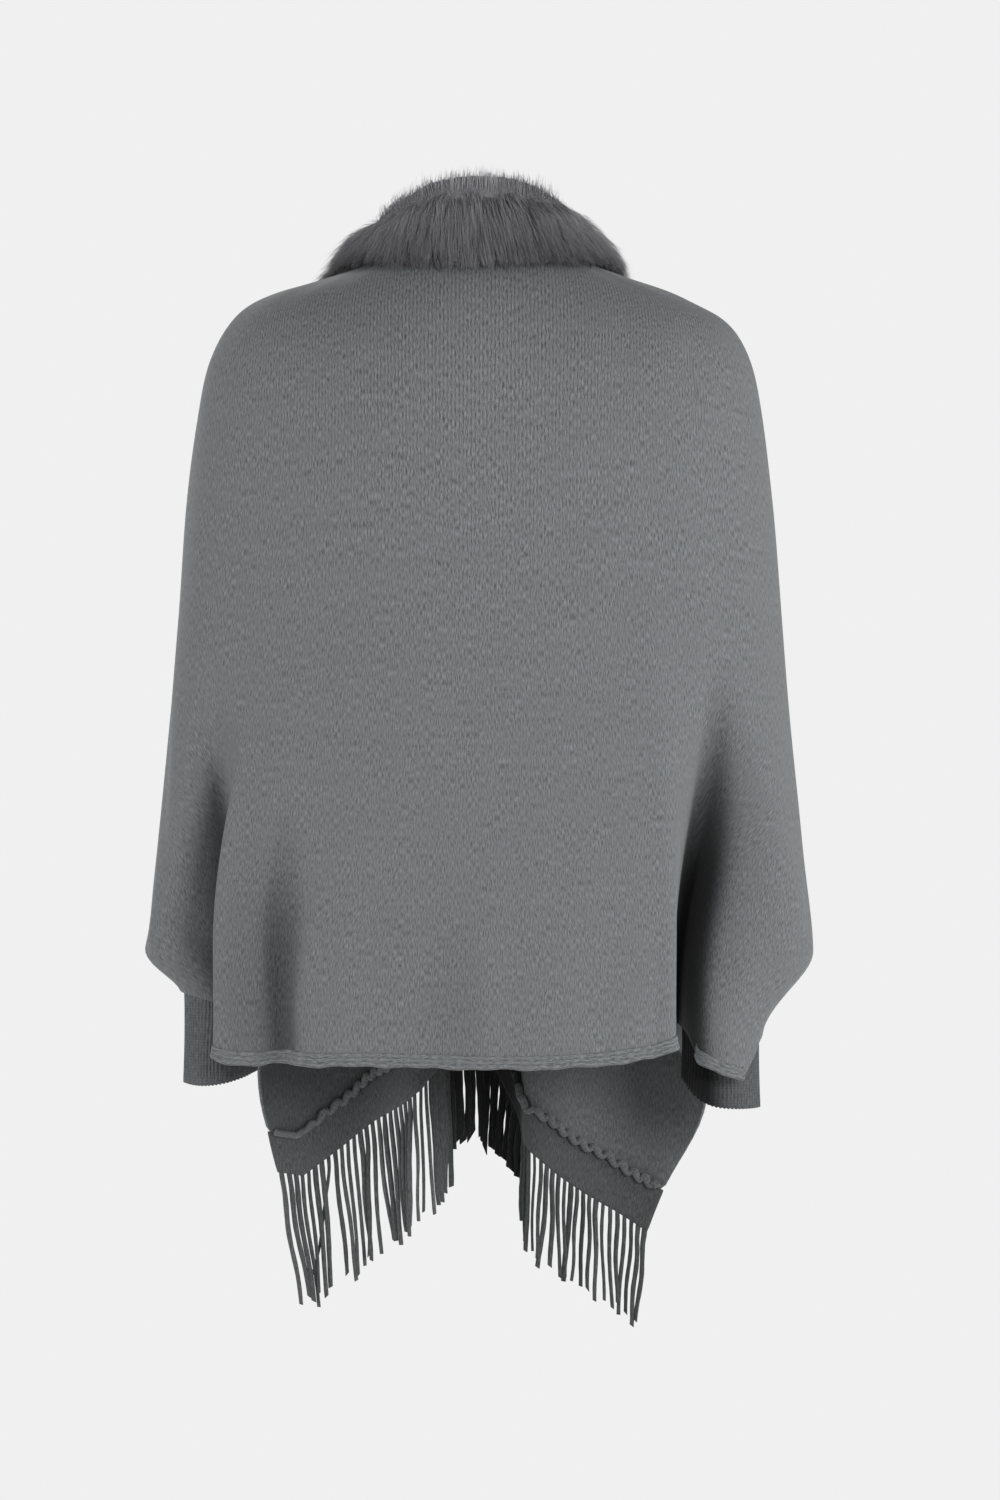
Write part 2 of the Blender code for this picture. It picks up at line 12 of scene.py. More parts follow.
import bmesh
import bpy
import numpy as np
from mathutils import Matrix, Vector

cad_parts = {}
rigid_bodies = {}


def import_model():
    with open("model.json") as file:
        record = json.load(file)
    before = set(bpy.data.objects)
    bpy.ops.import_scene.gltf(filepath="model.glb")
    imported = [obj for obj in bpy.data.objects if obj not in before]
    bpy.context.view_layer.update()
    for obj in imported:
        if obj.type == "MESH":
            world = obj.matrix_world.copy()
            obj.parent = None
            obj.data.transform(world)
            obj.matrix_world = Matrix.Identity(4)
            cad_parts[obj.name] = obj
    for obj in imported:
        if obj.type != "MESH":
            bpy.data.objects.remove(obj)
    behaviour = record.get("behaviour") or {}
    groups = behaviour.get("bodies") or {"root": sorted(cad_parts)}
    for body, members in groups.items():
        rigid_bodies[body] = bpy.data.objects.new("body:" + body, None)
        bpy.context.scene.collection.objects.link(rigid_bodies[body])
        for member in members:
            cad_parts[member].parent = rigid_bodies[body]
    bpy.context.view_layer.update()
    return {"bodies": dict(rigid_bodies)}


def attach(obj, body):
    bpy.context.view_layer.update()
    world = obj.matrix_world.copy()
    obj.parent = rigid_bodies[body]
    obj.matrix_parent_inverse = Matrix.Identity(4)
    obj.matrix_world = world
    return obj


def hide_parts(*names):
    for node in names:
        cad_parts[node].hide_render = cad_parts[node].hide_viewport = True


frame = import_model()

# %% [markdown]
# ## Helpers
# Colours are written as sRGB hex values, which is how a dyer's card gives them. Blender's shaders
# want linear light, so one function turns one into the other. Another adds a shader or geometry
# node with its settings and links, which keeps each material's recipe short to read. There a node
# that is given as an input stands for its own output, the first that it uses.

# %% Colours, nodes and objects
MM = 0.001
ROUND = 2 * math.pi  # a full turn


def linear(hex_colour):
    """An sRGB hex colour as linear red, green, blue and alpha."""
    parts = (int(hex_colour[i:i + 2], 16) / 255 for i in (1, 3, 5))
    return (*(p / 12.92 if p <= 0.04045 else ((p + 0.055) / 1.055) ** 2.4 for p in parts), 1.0)


def set_inputs(node, inputs):
    """inputs maps a socket's name or number to a value, or to a socket or node to link."""
    for key, value in inputs.items():
        if isinstance(value, bpy.types.Node):
            value = next(output for output in value.outputs if output.enabled)
        if isinstance(value, bpy.types.NodeSocket):
            node.id_data.links.new(value, node.inputs[key])
        else:
            node.inputs[key].default_value = value


def add_node(tree, kind, inputs=None, **settings):
    """Adds a node with its settings, and sets its inputs."""
    node = tree.nodes.new(kind)
    for key, value in settings.items():
        setattr(node, key, value)
    set_inputs(node, inputs or {})
    return node


def new_finish(name):
    """A material, its tree, and the shader in it."""
    finish = bpy.data.materials.new(name)
    finish.use_nodes = True
    return finish, finish.node_tree, finish.node_tree.nodes["Principled BSDF"]


def new_object(name, data):
    """An object in the scene, at the origin."""
    made = bpy.data.objects.new(name, data)
    bpy.context.scene.collection.objects.link(made)
    return made


print("mid grey is", [round(c, 3) for c in linear("#737577")])

# %% [markdown]
# ## Camera, light and floor
# The garment is seen straight on, from behind the wearer and from a few metres away. A large soft
# panel to the right of the camera, a little above it, lights the back, so that each fold has a
# shaded left side. Two weaker panels graze the sleeves from both sides and give the knit its pale
# rim. The pale room fills the shadows, more from its walls than from its ceiling. A worn poncho
# has no floor under it for more than a metre: the wearer's feet would be there.

# %% Camera
CAMERA_AWAY = 3.5
CAMERA_X, CAMERA_Z = -0.0156, -0.3921
LENS = 107.69  # millimetres, on a 36 mm sensor

camera_data = bpy.data.cameras.new("studio_camera")
camera_data.lens = LENS
camera = new_object("studio_camera", camera_data)
camera.location = (CAMERA_X, CAMERA_AWAY, CAMERA_Z)
camera.rotation_euler = (math.radians(90), 0, math.radians(180))
bpy.context.scene.camera = camera
print("camera at", tuple(camera.location))

# %% Soft panels
PANEL_AIM = (0, 0, -0.4)  # near the garment's middle
SOFT_PANELS = {  # where each stands, the length of its sides, and its power in watts
    "key_panel": ((-1.75, 3.75, 0.4), 1.3, 78),
    "right_panel": ((-3.5, 0.8, 0.0), 1.6, 43),
    "left_panel": ((3.5, 1.1, 0.0), 1.6, 47),
    "front_panel": ((1.6, -3.4, 1.2), 2.4, 60),
}
for name, (place, size, power) in SOFT_PANELS.items():
    lamp = bpy.data.lights.new(name, "AREA")
    lamp.shape, lamp.size, lamp.energy = "SQUARE", size, power
    panel = new_object(name, lamp)
    panel.location = place
    away = np.subtract(place, PANEL_AIM)
    tilt = math.atan2(math.hypot(away[0], away[1]), away[2])
    panel.rotation_euler = (tilt, 0, math.atan2(away[1], away[0]) + math.pi / 2)
print(len(SOFT_PANELS), "soft panels")

# %% Room and floor
WALL_LIGHT, CEILING_LIGHT = 0.40, 0.08  # what the room sends on to the cloth, as shares of white
CEILING_UP = 0.8  # how far up a direction points, as a share, where the ceiling is
FLOOR_Z, FLOOR_RADIUS, FLOOR_SIDES = -1.45, 2.6, 96

room = bpy.data.worlds.new("pale_room")
room.use_nodes = True
tree = room.node_tree
tree.nodes.clear()
way = add_node(tree, "ShaderNodeTexCoord").outputs["Generated"]
upward = add_node(tree, "ShaderNodeSeparateXYZ", {0: way}).outputs["Z"]
fading = add_node(tree, "ShaderNodeMapRange", {
    "Value": upward, "From Max": CEILING_UP, "To Min": WALL_LIGHT, "To Max": CEILING_LIGHT})
light = add_node(tree, "ShaderNodeBackground", {"Color": fading})
seen = add_node(tree, "ShaderNodeBackground", {"Color": linear("#F0F0F0")})
rays = add_node(tree, "ShaderNodeLightPath")
either = add_node(tree, "ShaderNodeMixShader", {
    0: rays.outputs["Is Camera Ray"], 1: light, 2: seen})
add_node(tree, "ShaderNodeOutputWorld", {"Surface": either})
bpy.context.scene.world = room
bpy.context.scene.view_settings.view_transform = "Standard"

floor_mesh = bpy.data.meshes.new("studio_floor")
floor_rim = [(FLOOR_RADIUS * math.cos(t), FLOOR_RADIUS * math.sin(t), FLOOR_Z)
             for t in np.linspace(0, ROUND, FLOOR_SIDES, endpoint=False)]
floor_mesh.from_pydata(floor_rim, [], [tuple(range(FLOOR_SIDES))])
floor = new_object("studio_floor", floor_mesh)
paint, tree, shader = new_finish("pale_floor_paint")
grain = add_node(tree, "ShaderNodeTexNoise", {"Scale": 6.0, "Detail": 3.0})
tone = add_node(tree, "ShaderNodeMix", {
    0: grain, 6: linear("#E2E2E1"), 7: linear("#E8E8E7")}, data_type="RGBA")
set_inputs(shader, {"Base Color": tone, "Roughness": 0.7})
floor_mesh.materials.append(paint)
print("floor", -FLOOR_Z, "m below the neck")

# %% [markdown]
# ## The cloth's form
# The construction draws the cloth from two short tables, and the finer surface is drawn from the
# same ones. Rings run down the body from the neck, and stations run round it where the cloth hangs
# in folds low down. A smooth curve through each column of a table gives a surface with no facets,
# and any number of points can be read from it.

# %% Tables of the form, in millimetres and degrees
CLOTH = 2.4  # how thick the knit is
SEAM = 0.3  # the gap between two pieces, or between a piece and what lies on it
FRONT_EDGE = 88.0  # from a side to the edge of its front, degrees
RING_COLUMNS = ("side_x", "side_z", "back_y", "back_z", "front_y", "front_z", "square", "edge")
RINGS = (
    (75, -12, 72, -5, 56, -46, 2.00, 46),  # neck seam
    (118, -25, 107, -42, 90, -92, 2.05, 62),
    (162, -38, 125, -90, 118, -145, 2.10, 74),  # yoke
    (191, -56, 134, -140, 136, -195, 2.20, 81),
    (210, -88, 139, -190, 144, -243, 2.25, 85),  # top of the arm
    (220, -135, 141, -240, 147, -290, 2.30, 87),
    (228, -200, 142, -300, 148, -340, 2.32, 88),
    (235, -290, 143, -365, 147, -393, 2.35, 88),
    (243, -385, 144, -430, 146, -443, 2.35, 88),
    (251, -465, 145, -487, 145, -492, 2.35, 88),
    (259, -540, 146, -540, 144, -540, 2.35, 88),  # elbow
    (259, -600, 147, -600, 143, -600, 2.35, 88),
    (257, -660, 147, -660, 143, -660, 2.35, 88),
    (255, -720, 147, -720, 143, -720, 2.35, 88),
    (253, -780, 147, -780, 143, -780, 2.35, 88),
    (251, -840, 147, -840, 143, -840, 2.35, 88),
)
LEVEL_RING, LEVEL_Z, LEVEL_STEP = 10, -540.0, 60.0

STATION_COLUMNS = ("angle", "x", "y", "starts", "full", "hem")
STATIONS = (
    (-88, 4.5, -150, -300, -560, -582),  # left front's edge
    (-80, 20, -139, -300, -560, -598),
    (-73, 35, -112, -300, -560, -613),
    (-68.3, 45, -91, -300, -560, -623),
    (-66, 50, -86.5, -300, -560, -630),  # crest of the left front's inward fold
    (-64, 55.5, -88.5, -300, -560, -635),
    (-58, 80, -116, -300, -560, -652),
    (-51, 103, -128, -300, -560, -668),
    (-44, 129, -123, -320, -570, -687),
    (-38, 151, -112, -340, -580, -702),
    (-33, 171, -98, -340, -590, -698),  # left front's outer corner
    (-30, 177, -86, -320, -600, -668),
    (-27.5, 177, -68, -300, -600, -640),
    (-25, 170, -38, -300, -600, -618),
    (-23.2, 162.5, -12, -300, -600, -602),  # inside of the left wrist, front
    (-21.2, 171, -9, -300, -600, -599),
    (-18, 180, -26, -340, -600, -594),
    (-13, 202, -33, -470, -598, -588),
    (-6.5, 224, -22, -532, -590, -581),
    (0, 233, 5, -546, -578, -577),  # outside of the left wrist
    (6.5, 224, 32, -532, -590, -580),
    (13, 202, 42, -470, -598, -586),
    (18, 180, 34, -340, -600, -590),
    (21.2, 171, 16, -300, -600, -594),
    (23.2, 162.5, 18, -300, -600, -597),  # inside of the left wrist, back
    (25.5, 165, 52, -300, -600, -606),
    (28.5, 180, 86, -300, -580, -617),
    (31.5, 200, 104, -310, -540, -623),  # fold where the back overhangs the left sleeve
    (37, 188, 117, -310, -540, -628),
    (44, 163, 122, -310, -540, -629),
    (50, 145, 120, -400, -590, -627),  # shallow dip
    (57, 121, 133, -400, -590, -629),
    (66, 86, 138, -400, -590, -628),
    (78, 44, 142, -400, -590, -629),
    (90, 0, 147, -400, -590, -630),  # middle of the back
    (104, -46, 146, -400, -590, -630),
    (118, -90, 139, -400, -590, -628),
    (132, -130, 126, -340, -560, -623),
    (140, -149, 111, -310, -560, -616),  # fold where the back stops short of the right sleeve
    (143, -147, 86, -310, -580, -612),
    (145.7, -147, 48, -310, -590, -607),
    (148, -146, 14, -310, -590, -603),  # inside of the right wrist, back
    (150, -153.5, 12, -310, -590, -604),
    (152.3, -160, 38, -310, -590, -612),
    (155, -168, 54, -330, -590, -631),  # inner corner of the right sleeve
    (160, -185, 58, -400, -600, -640),
    (166, -202, 50, -480, -620, -646),
    (172.5, -216, 33, -534, -620, -618),
    (180, -220.4, 5, -548, -608, -606),  # outside of the right wrist
    (186.5, -212, -24, -534, -614, -606),
    (193, -190, -35, -470, -618, -606),
    (198.5, -163, -30, -340, -612, -606),
    (201.2, -153.5, -6, -300, -600, -605),  # inside of the right wrist, front
    (203.2, -146, -10, -300, -600, -607),
    (205.5, -158, -42, -300, -600, -628),
    (208.5, -178, -72, -300, -600, -655),
    (212, -180, -91, -320, -600, -677),
    (218.5, -147, -107, -340, -600, -746),  # right front's outer corner
    (226, -118, -110, -320, -600, -729),
    (235, -84, -100, -300, -580, -710),
    (242.5, -60, -89, -300, -560, -694),
    (246.8, -48.5, -83.5, -300, -560, -684),
    (249, -42.8, -83, -300, -560, -679),  # crest of the right front's inward fold
    (251.2, -38.5, -88, -300, -560, -672),
    (255, -33, -110, -300, -560, -652),
    (261, -18, -138, -300, -560, -624),
    (268, -3.5, -150, -300, -560, -602),  # right front's edge
)


# %% Reading the tables
def column(table, names, name):
    return np.array([row[names.index(name)] for row in table], float)


def smooth_read(knots, values, at):
    """A smooth curve through the values at the knots, read at the given places."""
    slopes = np.gradient(values, knots)
    at = np.clip(np.asarray(at, float), knots[0], knots[-1])
    i = np.clip(np.searchsorted(knots, at, side="right") - 1, 0, len(knots) - 2)
    step = knots[i + 1] - knots[i]
    t = (at - knots[i]) / step
    rise = values[i + 1] - values[i]
    start, end = slopes[i] * step, slopes[i + 1] * step
    return values[i] + t * (start + t * (3 * rise - 2 * start - end + t * (start + end - 2 * rise)))


RING_KNOTS = np.arange(len(RINGS), dtype=float)
RING = {name: column(RINGS, RING_COLUMNS, name) for name in RING_COLUMNS}
STATION = {name: column(STATIONS, STATION_COLUMNS, name) for name in STATION_COLUMNS}


def ring(name, at):
    return smooth_read(RING_KNOTS, RING[name], at)


def station(name, angle):
    return smooth_read(STATION["angle"], STATION[name], angle)


def hem_height(angle):
    return np.interp(angle, STATION["angle"], STATION["hem"])


def ring_at(height):
    return LEVEL_RING + (LEVEL_Z - height) / LEVEL_STEP


def unit(vectors):
    return vectors / np.linalg.norm(vectors, axis=-1, keepdims=True)


def run_along(points):
    """The distance run along a line of points, at each of them."""
    return np.concatenate([[0], np.cumsum(np.linalg.norm(np.diff(points, axis=0), axis=1))])


def read_evenly(run, values, count):
    """The values at so many places along the run, an equal distance apart."""
    return np.interp(np.linspace(0, run[-1], count), run, values)


# %% The cloth's outer face
def cloth(angle, at_ring):
    """Points on the cloth's outer face, in millimetres."""
    angle, at_ring = np.broadcast_arrays(np.asarray(angle, float), np.asarray(at_ring, float))
    turn = np.radians(angle)
    c, s = np.cos(turn), np.sin(turn)
    behind = s > 0
    deep = np.where(behind, ring("back_y", at_ring), ring("front_y", at_ring))
    low = np.where(behind, ring("back_z", at_ring), ring("front_z", at_ring))
    wide, side_z, square = ring("side_x", at_ring), ring("side_z", at_ring), ring("square", at_ring)
    reach = ((np.abs(c) / wide) ** square + (np.abs(s) / deep) ** square) ** (-1 / square)
    z = side_z + (low - side_z) * s * s
    starts, full = station("starts", angle), station("full", angle)
    t = np.clip((starts - z) / (starts - full), 0, 1)
    share = t * t * (3 - 2 * t)
    x = reach * c * (1 - share) + station("x", angle) * share
    y = reach * s * (1 - share) + station("y", angle) * share
    return np.stack([x, y, z], axis=-1)


SMALL_TURN, SMALL_STEP = 0.05, 0.004  # degrees and rings to both sides, to measure a direction


def cloth_frame(angle, at_ring):
    """Unit vectors at each point: along the ring, down the fall line, and out of the cloth."""
    angle = np.asarray(angle, float)
    at_ring = np.clip(at_ring, SMALL_STEP, RING_KNOTS[-1] - SMALL_STEP)
    along = unit(cloth(angle + SMALL_TURN, at_ring) - cloth(angle - SMALL_TURN, at_ring))
    down = unit(cloth(angle, at_ring + SMALL_STEP) - cloth(angle, at_ring - SMALL_STEP))
    return along, down, unit(np.cross(down, along))


print("the back is", round(float(cloth(0, 10)[0] - cloth(180, 10)[0])), "mm wide at the elbows")

# %% [markdown]
# ## Soft creases
# Knit has no sharp folds. What breaks its surface is a few long, shallow troughs and ridges: drag
# lines that run from the shoulders, a dip where the sleeve starts to part from the back, and
# short puckers above the cuffs and along the hem. Each is one row here, and they fade out like a
# bell curve to both sides. Leaning ones change their angle as they go down.

# %% Creases
# angle and ring of the middle, half width in degrees, half length in rings, height in millimetres
# (below 0 for a trough), and the lean in degrees for each ring
CREASES = (
    (53.5, 11.0, 2.0, 1.7, 4.5, 0.0),
    (46.5, 11.0, 3.4, 1.6, -11.0, 0.0),
    (38.5, 8.4, 4.2, 1.3, -5.0, 5.6),
    (180, 2.2, 22.0, 0.9, -4.5, 0.0),
    (37, 10.4, 2.6, 1.8, 1.5, -0.4),
    (0, 10.3, 9.0, 0.30, 3.6, 0.0),
    (61, 10.9, 3.2, 1.2, 0.8, 0.3),
    (70, 10.8, 4.0, 1.2, -1.1, 0.5),
    (83, 11.0, 5.0, 1.1, -3.2, 0.4),
    (91, 10.9, 3.0, 1.1, 1.0, 0.2),
    (97, 10.8, 2.8, 1.3, -1.3, -0.4),
    (108, 10.9, 4.5, 1.1, 1.0, -0.4),
    (121, 10.7, 3.4, 1.5, -1.0, -0.8),
    (133, 9.2, 3.0, 2.4, 1.4, -1.2),
    (152, 8.4, 4.5, 2.2, -2.2, 0.6),
    (163, 8.8, 3.6, 1.8, 1.4, 0.8),
    (30, 7.8, 3.6, 1.9, -1.4, 0.8),
    (22, 8.6, 3.0, 1.6, 1.2, 0.9),
    (12, 9.4, 3.0, 0.9, -3.4, -2.4),
    (3, 9.9, 2.4, 0.5, -3.0, 3.0),
    (15, 10.1, 2.4, 0.5, -2.8, 4.0),
    (8, 8.6, 2.6, 0.8, -2.2, 3.4),
    (-9, 9.6, 3.4, 0.6, -1.9, -3.0),
    (-16, 8.9, 3.2, 1.2, 1.4, 1.0),
    (172, 9.9, 3.0, 0.6, -1.8, -4.0),
    (166, 10.3, 2.6, 0.7, -1.5, 3.5),
    (186, 9.7, 3.4, 0.7, -1.9, 3.2),
    (194, 9.0, 3.2, 1.2, 1.3, -1.0),
    (62, 3.6, 6.0, 1.5, 0.9, -2.0),
    (120, 3.2, 6.0, 1.4, 0.8, 2.4),
    (44, 2.6, 4.0, 1.0, -1.2, -3.0),
    (137, 2.4, 4.0, 1.0, -1.1, 3.0),
    (-30, 5.4, 4.5, 1.8, -1.6, 1.4),
    (-44, 7.6, 4.2, 2.2, 1.5, 0.8),
    (-55, 9.4, 4.6, 2.0, -1.7, 0.6),
    (-40, 3.4, 4.8, 1.2, -1.5, -2.2),
    (-74, 6.8, 4.0, 1.6, 1.2, -0.6),
    (211, 5.8, 4.6, 1.8, -1.5, -1.2),
    (224, 7.9, 4.0, 2.2, 1.6, -0.8),
    (236, 9.6, 4.4, 1.8, -1.6, -0.5),
    (222, 3.3, 4.8, 1.2, -1.4, 2.0),
    (254, 7.0, 4.0, 1.7, 1.1, 0.5),
)
WAVE_HEIGHT = 0.16  # low waves all over, because hanging cloth is never quite even
WAVES = ((0.31, 2.3, 0.4), (0.53, -1.4, 2.0), (0.17, 3.6, 4.1))  # for each degree and ring; phase


def relief(angle, at_ring):
    """Millimetres that the cloth stands out of its plain form."""
    height = np.zeros(np.broadcast(angle, at_ring).shape)
    for middle, level, wide, long, rise, lean in CREASES:
        across = (angle - middle - lean * (at_ring - level)) / wide
        height += rise * np.exp(-across ** 2 - ((at_ring - level) / long) ** 2)
    for steps_round, steps_down, phase in WAVES:
        height += WAVE_HEIGHT * np.sin(steps_round * angle + steps_down * at_ring + phase)
    return height


print(len(CREASES), "creases, the deepest", min(row[4] for row in CREASES), "mm")

# %% [markdown]
# Two of the folds are deep slits, between the back and each sleeve. Hardly any light gets to the
# bottom of a slit in fluffy knit, less than a plain surface would pass on, so the cloth carries a
# value that darkens its finish there: painted shade. The same value paints shade into three
# shallow troughs low on the back, and a little on the shoulders and under the collar too.

# %% How much light is left in the deep folds
# angle of the bottom at the low ring, half width in degrees, lean in degrees for each ring, the
# rings where it starts to darken and is darkest, and the share of light that is left
DEEP_FOLDS = (
    (150.9, 5.9, 0.2, 7.0, 9.5, 0.01),
    (20.0, 5.0, -2.5, 8.2, 10.6, 0.62),
    (46.8, 3.5, 1.5, 8.0, 10.2, 0.54),
    (42.5, 9.0, 1.5, 8.0, 10.8, 0.80),
    (84.0, 7.0, 0.3, 9.0, 11.0, 0.93),
)
FOLD_RING = 9.5  # where a deep fold's angle is given
NARROW = 0.32  # a deep fold's width where it starts, as a share
SHOULDER_SHADE, SHOULDER_RINGS = 0.22, 3.0  # how dark, and over how many rings, at the sides
MIDDLE_FADE = 0.45  # over how many in the middle of the back, as a share of that
LEAST_OPEN = 0.15  # how far the wales stand apart low down, as a share
OPEN_FROM, OPEN_TO = 0.9, 8.4  # the rings between which the wales close


def smooth_step(share):
    share = np.clip(share, 0, 1)
    return share * share * (3 - 2 * share)


def fold_light(angle, at_ring):
    """1 on the open cloth, and less deep in a fold and high on the shoulders."""
    fade = SHOULDER_RINGS * (MIDDLE_FADE + (1 - MIDDLE_FADE) * np.abs(np.cos(np.radians(angle))))
    light = 1 - SHOULDER_SHADE * np.exp(-(at_ring / fade) ** 2)
    for middle, wide, lean, starts, full, left in DEEP_FOLDS:
        depth = smooth_step((at_ring - starts) / (full - starts))
        width = wide * (NARROW + (1 - NARROW) * depth)
        off = (angle - middle - lean * (at_ring - FOLD_RING)) / width
        light = light * (1 - (1 - left) * np.exp(-off ** 4) * depth)
    return light


def open_wales(at_ring):
    """How far the wales stand apart: most where the cloth is stretched over the shoulders."""
    return LEAST_OPEN + (1 - LEAST_OPEN) * smooth_step((OPEN_TO - at_ring) / (OPEN_TO - OPEN_FROM))


print("light left in the folds:", [row[-1] for row in DEEP_FOLDS])


# %% [markdown]
# ## From points to a piece
# Every shell has an outer face, an inner face and a rounded rim between them. The finish follows
# the knitting and not the object's axes, so each point also carries its place on the flat cloth,
# in metres, as a UV map: across the wales and along them.

# %% Making a piece
def make_piece(name, points, faces, finishes, uv=None, face_finish=None):
    """A smooth-shaded piece from points in millimetres, at the origin."""
    mesh = bpy.data.meshes.new(name)
    mesh.from_pydata((np.reshape(points, (-1, 3)) * MM).tolist(), [], faces)
    for finish in finishes:
        mesh.materials.append(finish)
    if face_finish is not None:
        mesh.polygons.foreach_set("material_index", face_finish)
    if uv is not None:
        layer = mesh.uv_layers.new(name="cloth")
        loops = np.zeros(len(mesh.loops), np.int32)
        mesh.loops.foreach_get("vertex_index", loops)
        places = np.reshape(uv, (-1, 2))[loops] * MM
        layer.data.foreach_set("uv", places.astype(np.float32).ravel())
    mesh.shade_smooth()
    mesh.update()
    return new_object(name, mesh)


def outward(piece):
    """Turns the faces of a closed piece outwards."""
    shell = bmesh.new()
    shell.from_mesh(piece.data)
    bmesh.ops.recalc_face_normals(shell, faces=shell.faces)
    if shell.calc_volume(signed=True) < 0:
        bmesh.ops.reverse_faces(shell, faces=shell.faces)
    shell.to_mesh(piece.data)
    shell.free()
    return piece


def keep_values(piece, name, values):
    """Stores one value for each point of a piece, for its finish to read."""
    layer = piece.data.attributes.new(name, "FLOAT", "POINT")
    layer.data.foreach_set("value", np.asarray(values, np.float32))


def triangles(piece):
    return sum(len(p.vertices) - 2 for p in piece.data.polygons)


# %% Grids with a wall
RIM_BULGE = 0.7  # how far the rim of a wall is rounded, millimetres


def wall(outer, inner):
    """Points and faces of a wall between two grids, with a rounded rim.
    Returns the points, the faces, and which grid point each point's UV comes from."""
    rows, columns = outer.shape[:2]
    size = rows * columns
    border = np.concatenate([
        np.arange(columns),
        np.arange(1, rows) * columns + columns - 1,
        (rows - 1) * columns + np.arange(columns - 2, -1, -1),
        np.arange(rows - 2, 0, -1) * columns])
    flat_out, flat_in = outer.reshape(-1, 3), inner.reshape(-1, 3)
    beside = np.clip(border // columns, 1, rows - 2) * columns
    beside += np.clip(border % columns, 1, columns - 2)
    away = unit(flat_out[border] - flat_out[beside])
    rim = (flat_out[border] + flat_in[border]) / 2 + away * RIM_BULGE
    points = np.concatenate([flat_out, flat_in, rim])
    source = np.concatenate([np.arange(size), np.arange(size), border])
    faces = []
    for r in range(rows - 1):
        for c in range(columns - 1):
            a, b = r * columns + c, r * columns + c + 1
            faces.append((a, a + columns, b + columns, b))
            faces.append((size + a, size + b, size + b + columns, size + a + columns))
    count = len(border)
    border = border.tolist()
    for k in range(count):
        n = (k + 1) % count
        mid, mid_next = 2 * size + k, 2 * size + n
        faces.append((border[k], border[n], mid_next, mid))
        faces.append((mid, mid_next, size + border[n], size + border[k]))
    return points, faces, source


# %% [markdown]
# ## Knit, rib, fringe and fur: the finishes
# The garment is knitted on a fine machine from acrylic yarn, in stocking stitch. Its face shows
# columns of small V shapes, called wales, 3 mm apart; its reverse shows rows of small bumps. Both
# patterns are waves on the cloth's own UV map, bent a little by noise because yarn never lies
# straight, and both feed the colour and the bump: light doesn't reach between the stitches. A
# soft sheen stands for the loose fibres that catch the light at the edges.

# %% The stitch pattern
WALE = 3.0 * MM  # from one column of stitches to the next
COURSE = 2.3 * MM  # from one stitch to the next in a column
YARN, YARN_RUN = 0.75 * MM, 4.8 * MM  # how wide a strand of yarn shows, and how long it runs on
STRAY_SCALE = 330.0  # the yarn strays from its course every 3 mm
PATCH_SCALE = 42.0  # and the stitches show more and less every 24 mm
DYE_SCALES = (5.0, 95.0, 0.0)  # the dye changes every 200 mm round the body and 10 mm down it
CLOSED_CONTRAST, OPEN_CONTRAST = 0.34, 0.88  # shares of the pattern that show, by how the wales lie


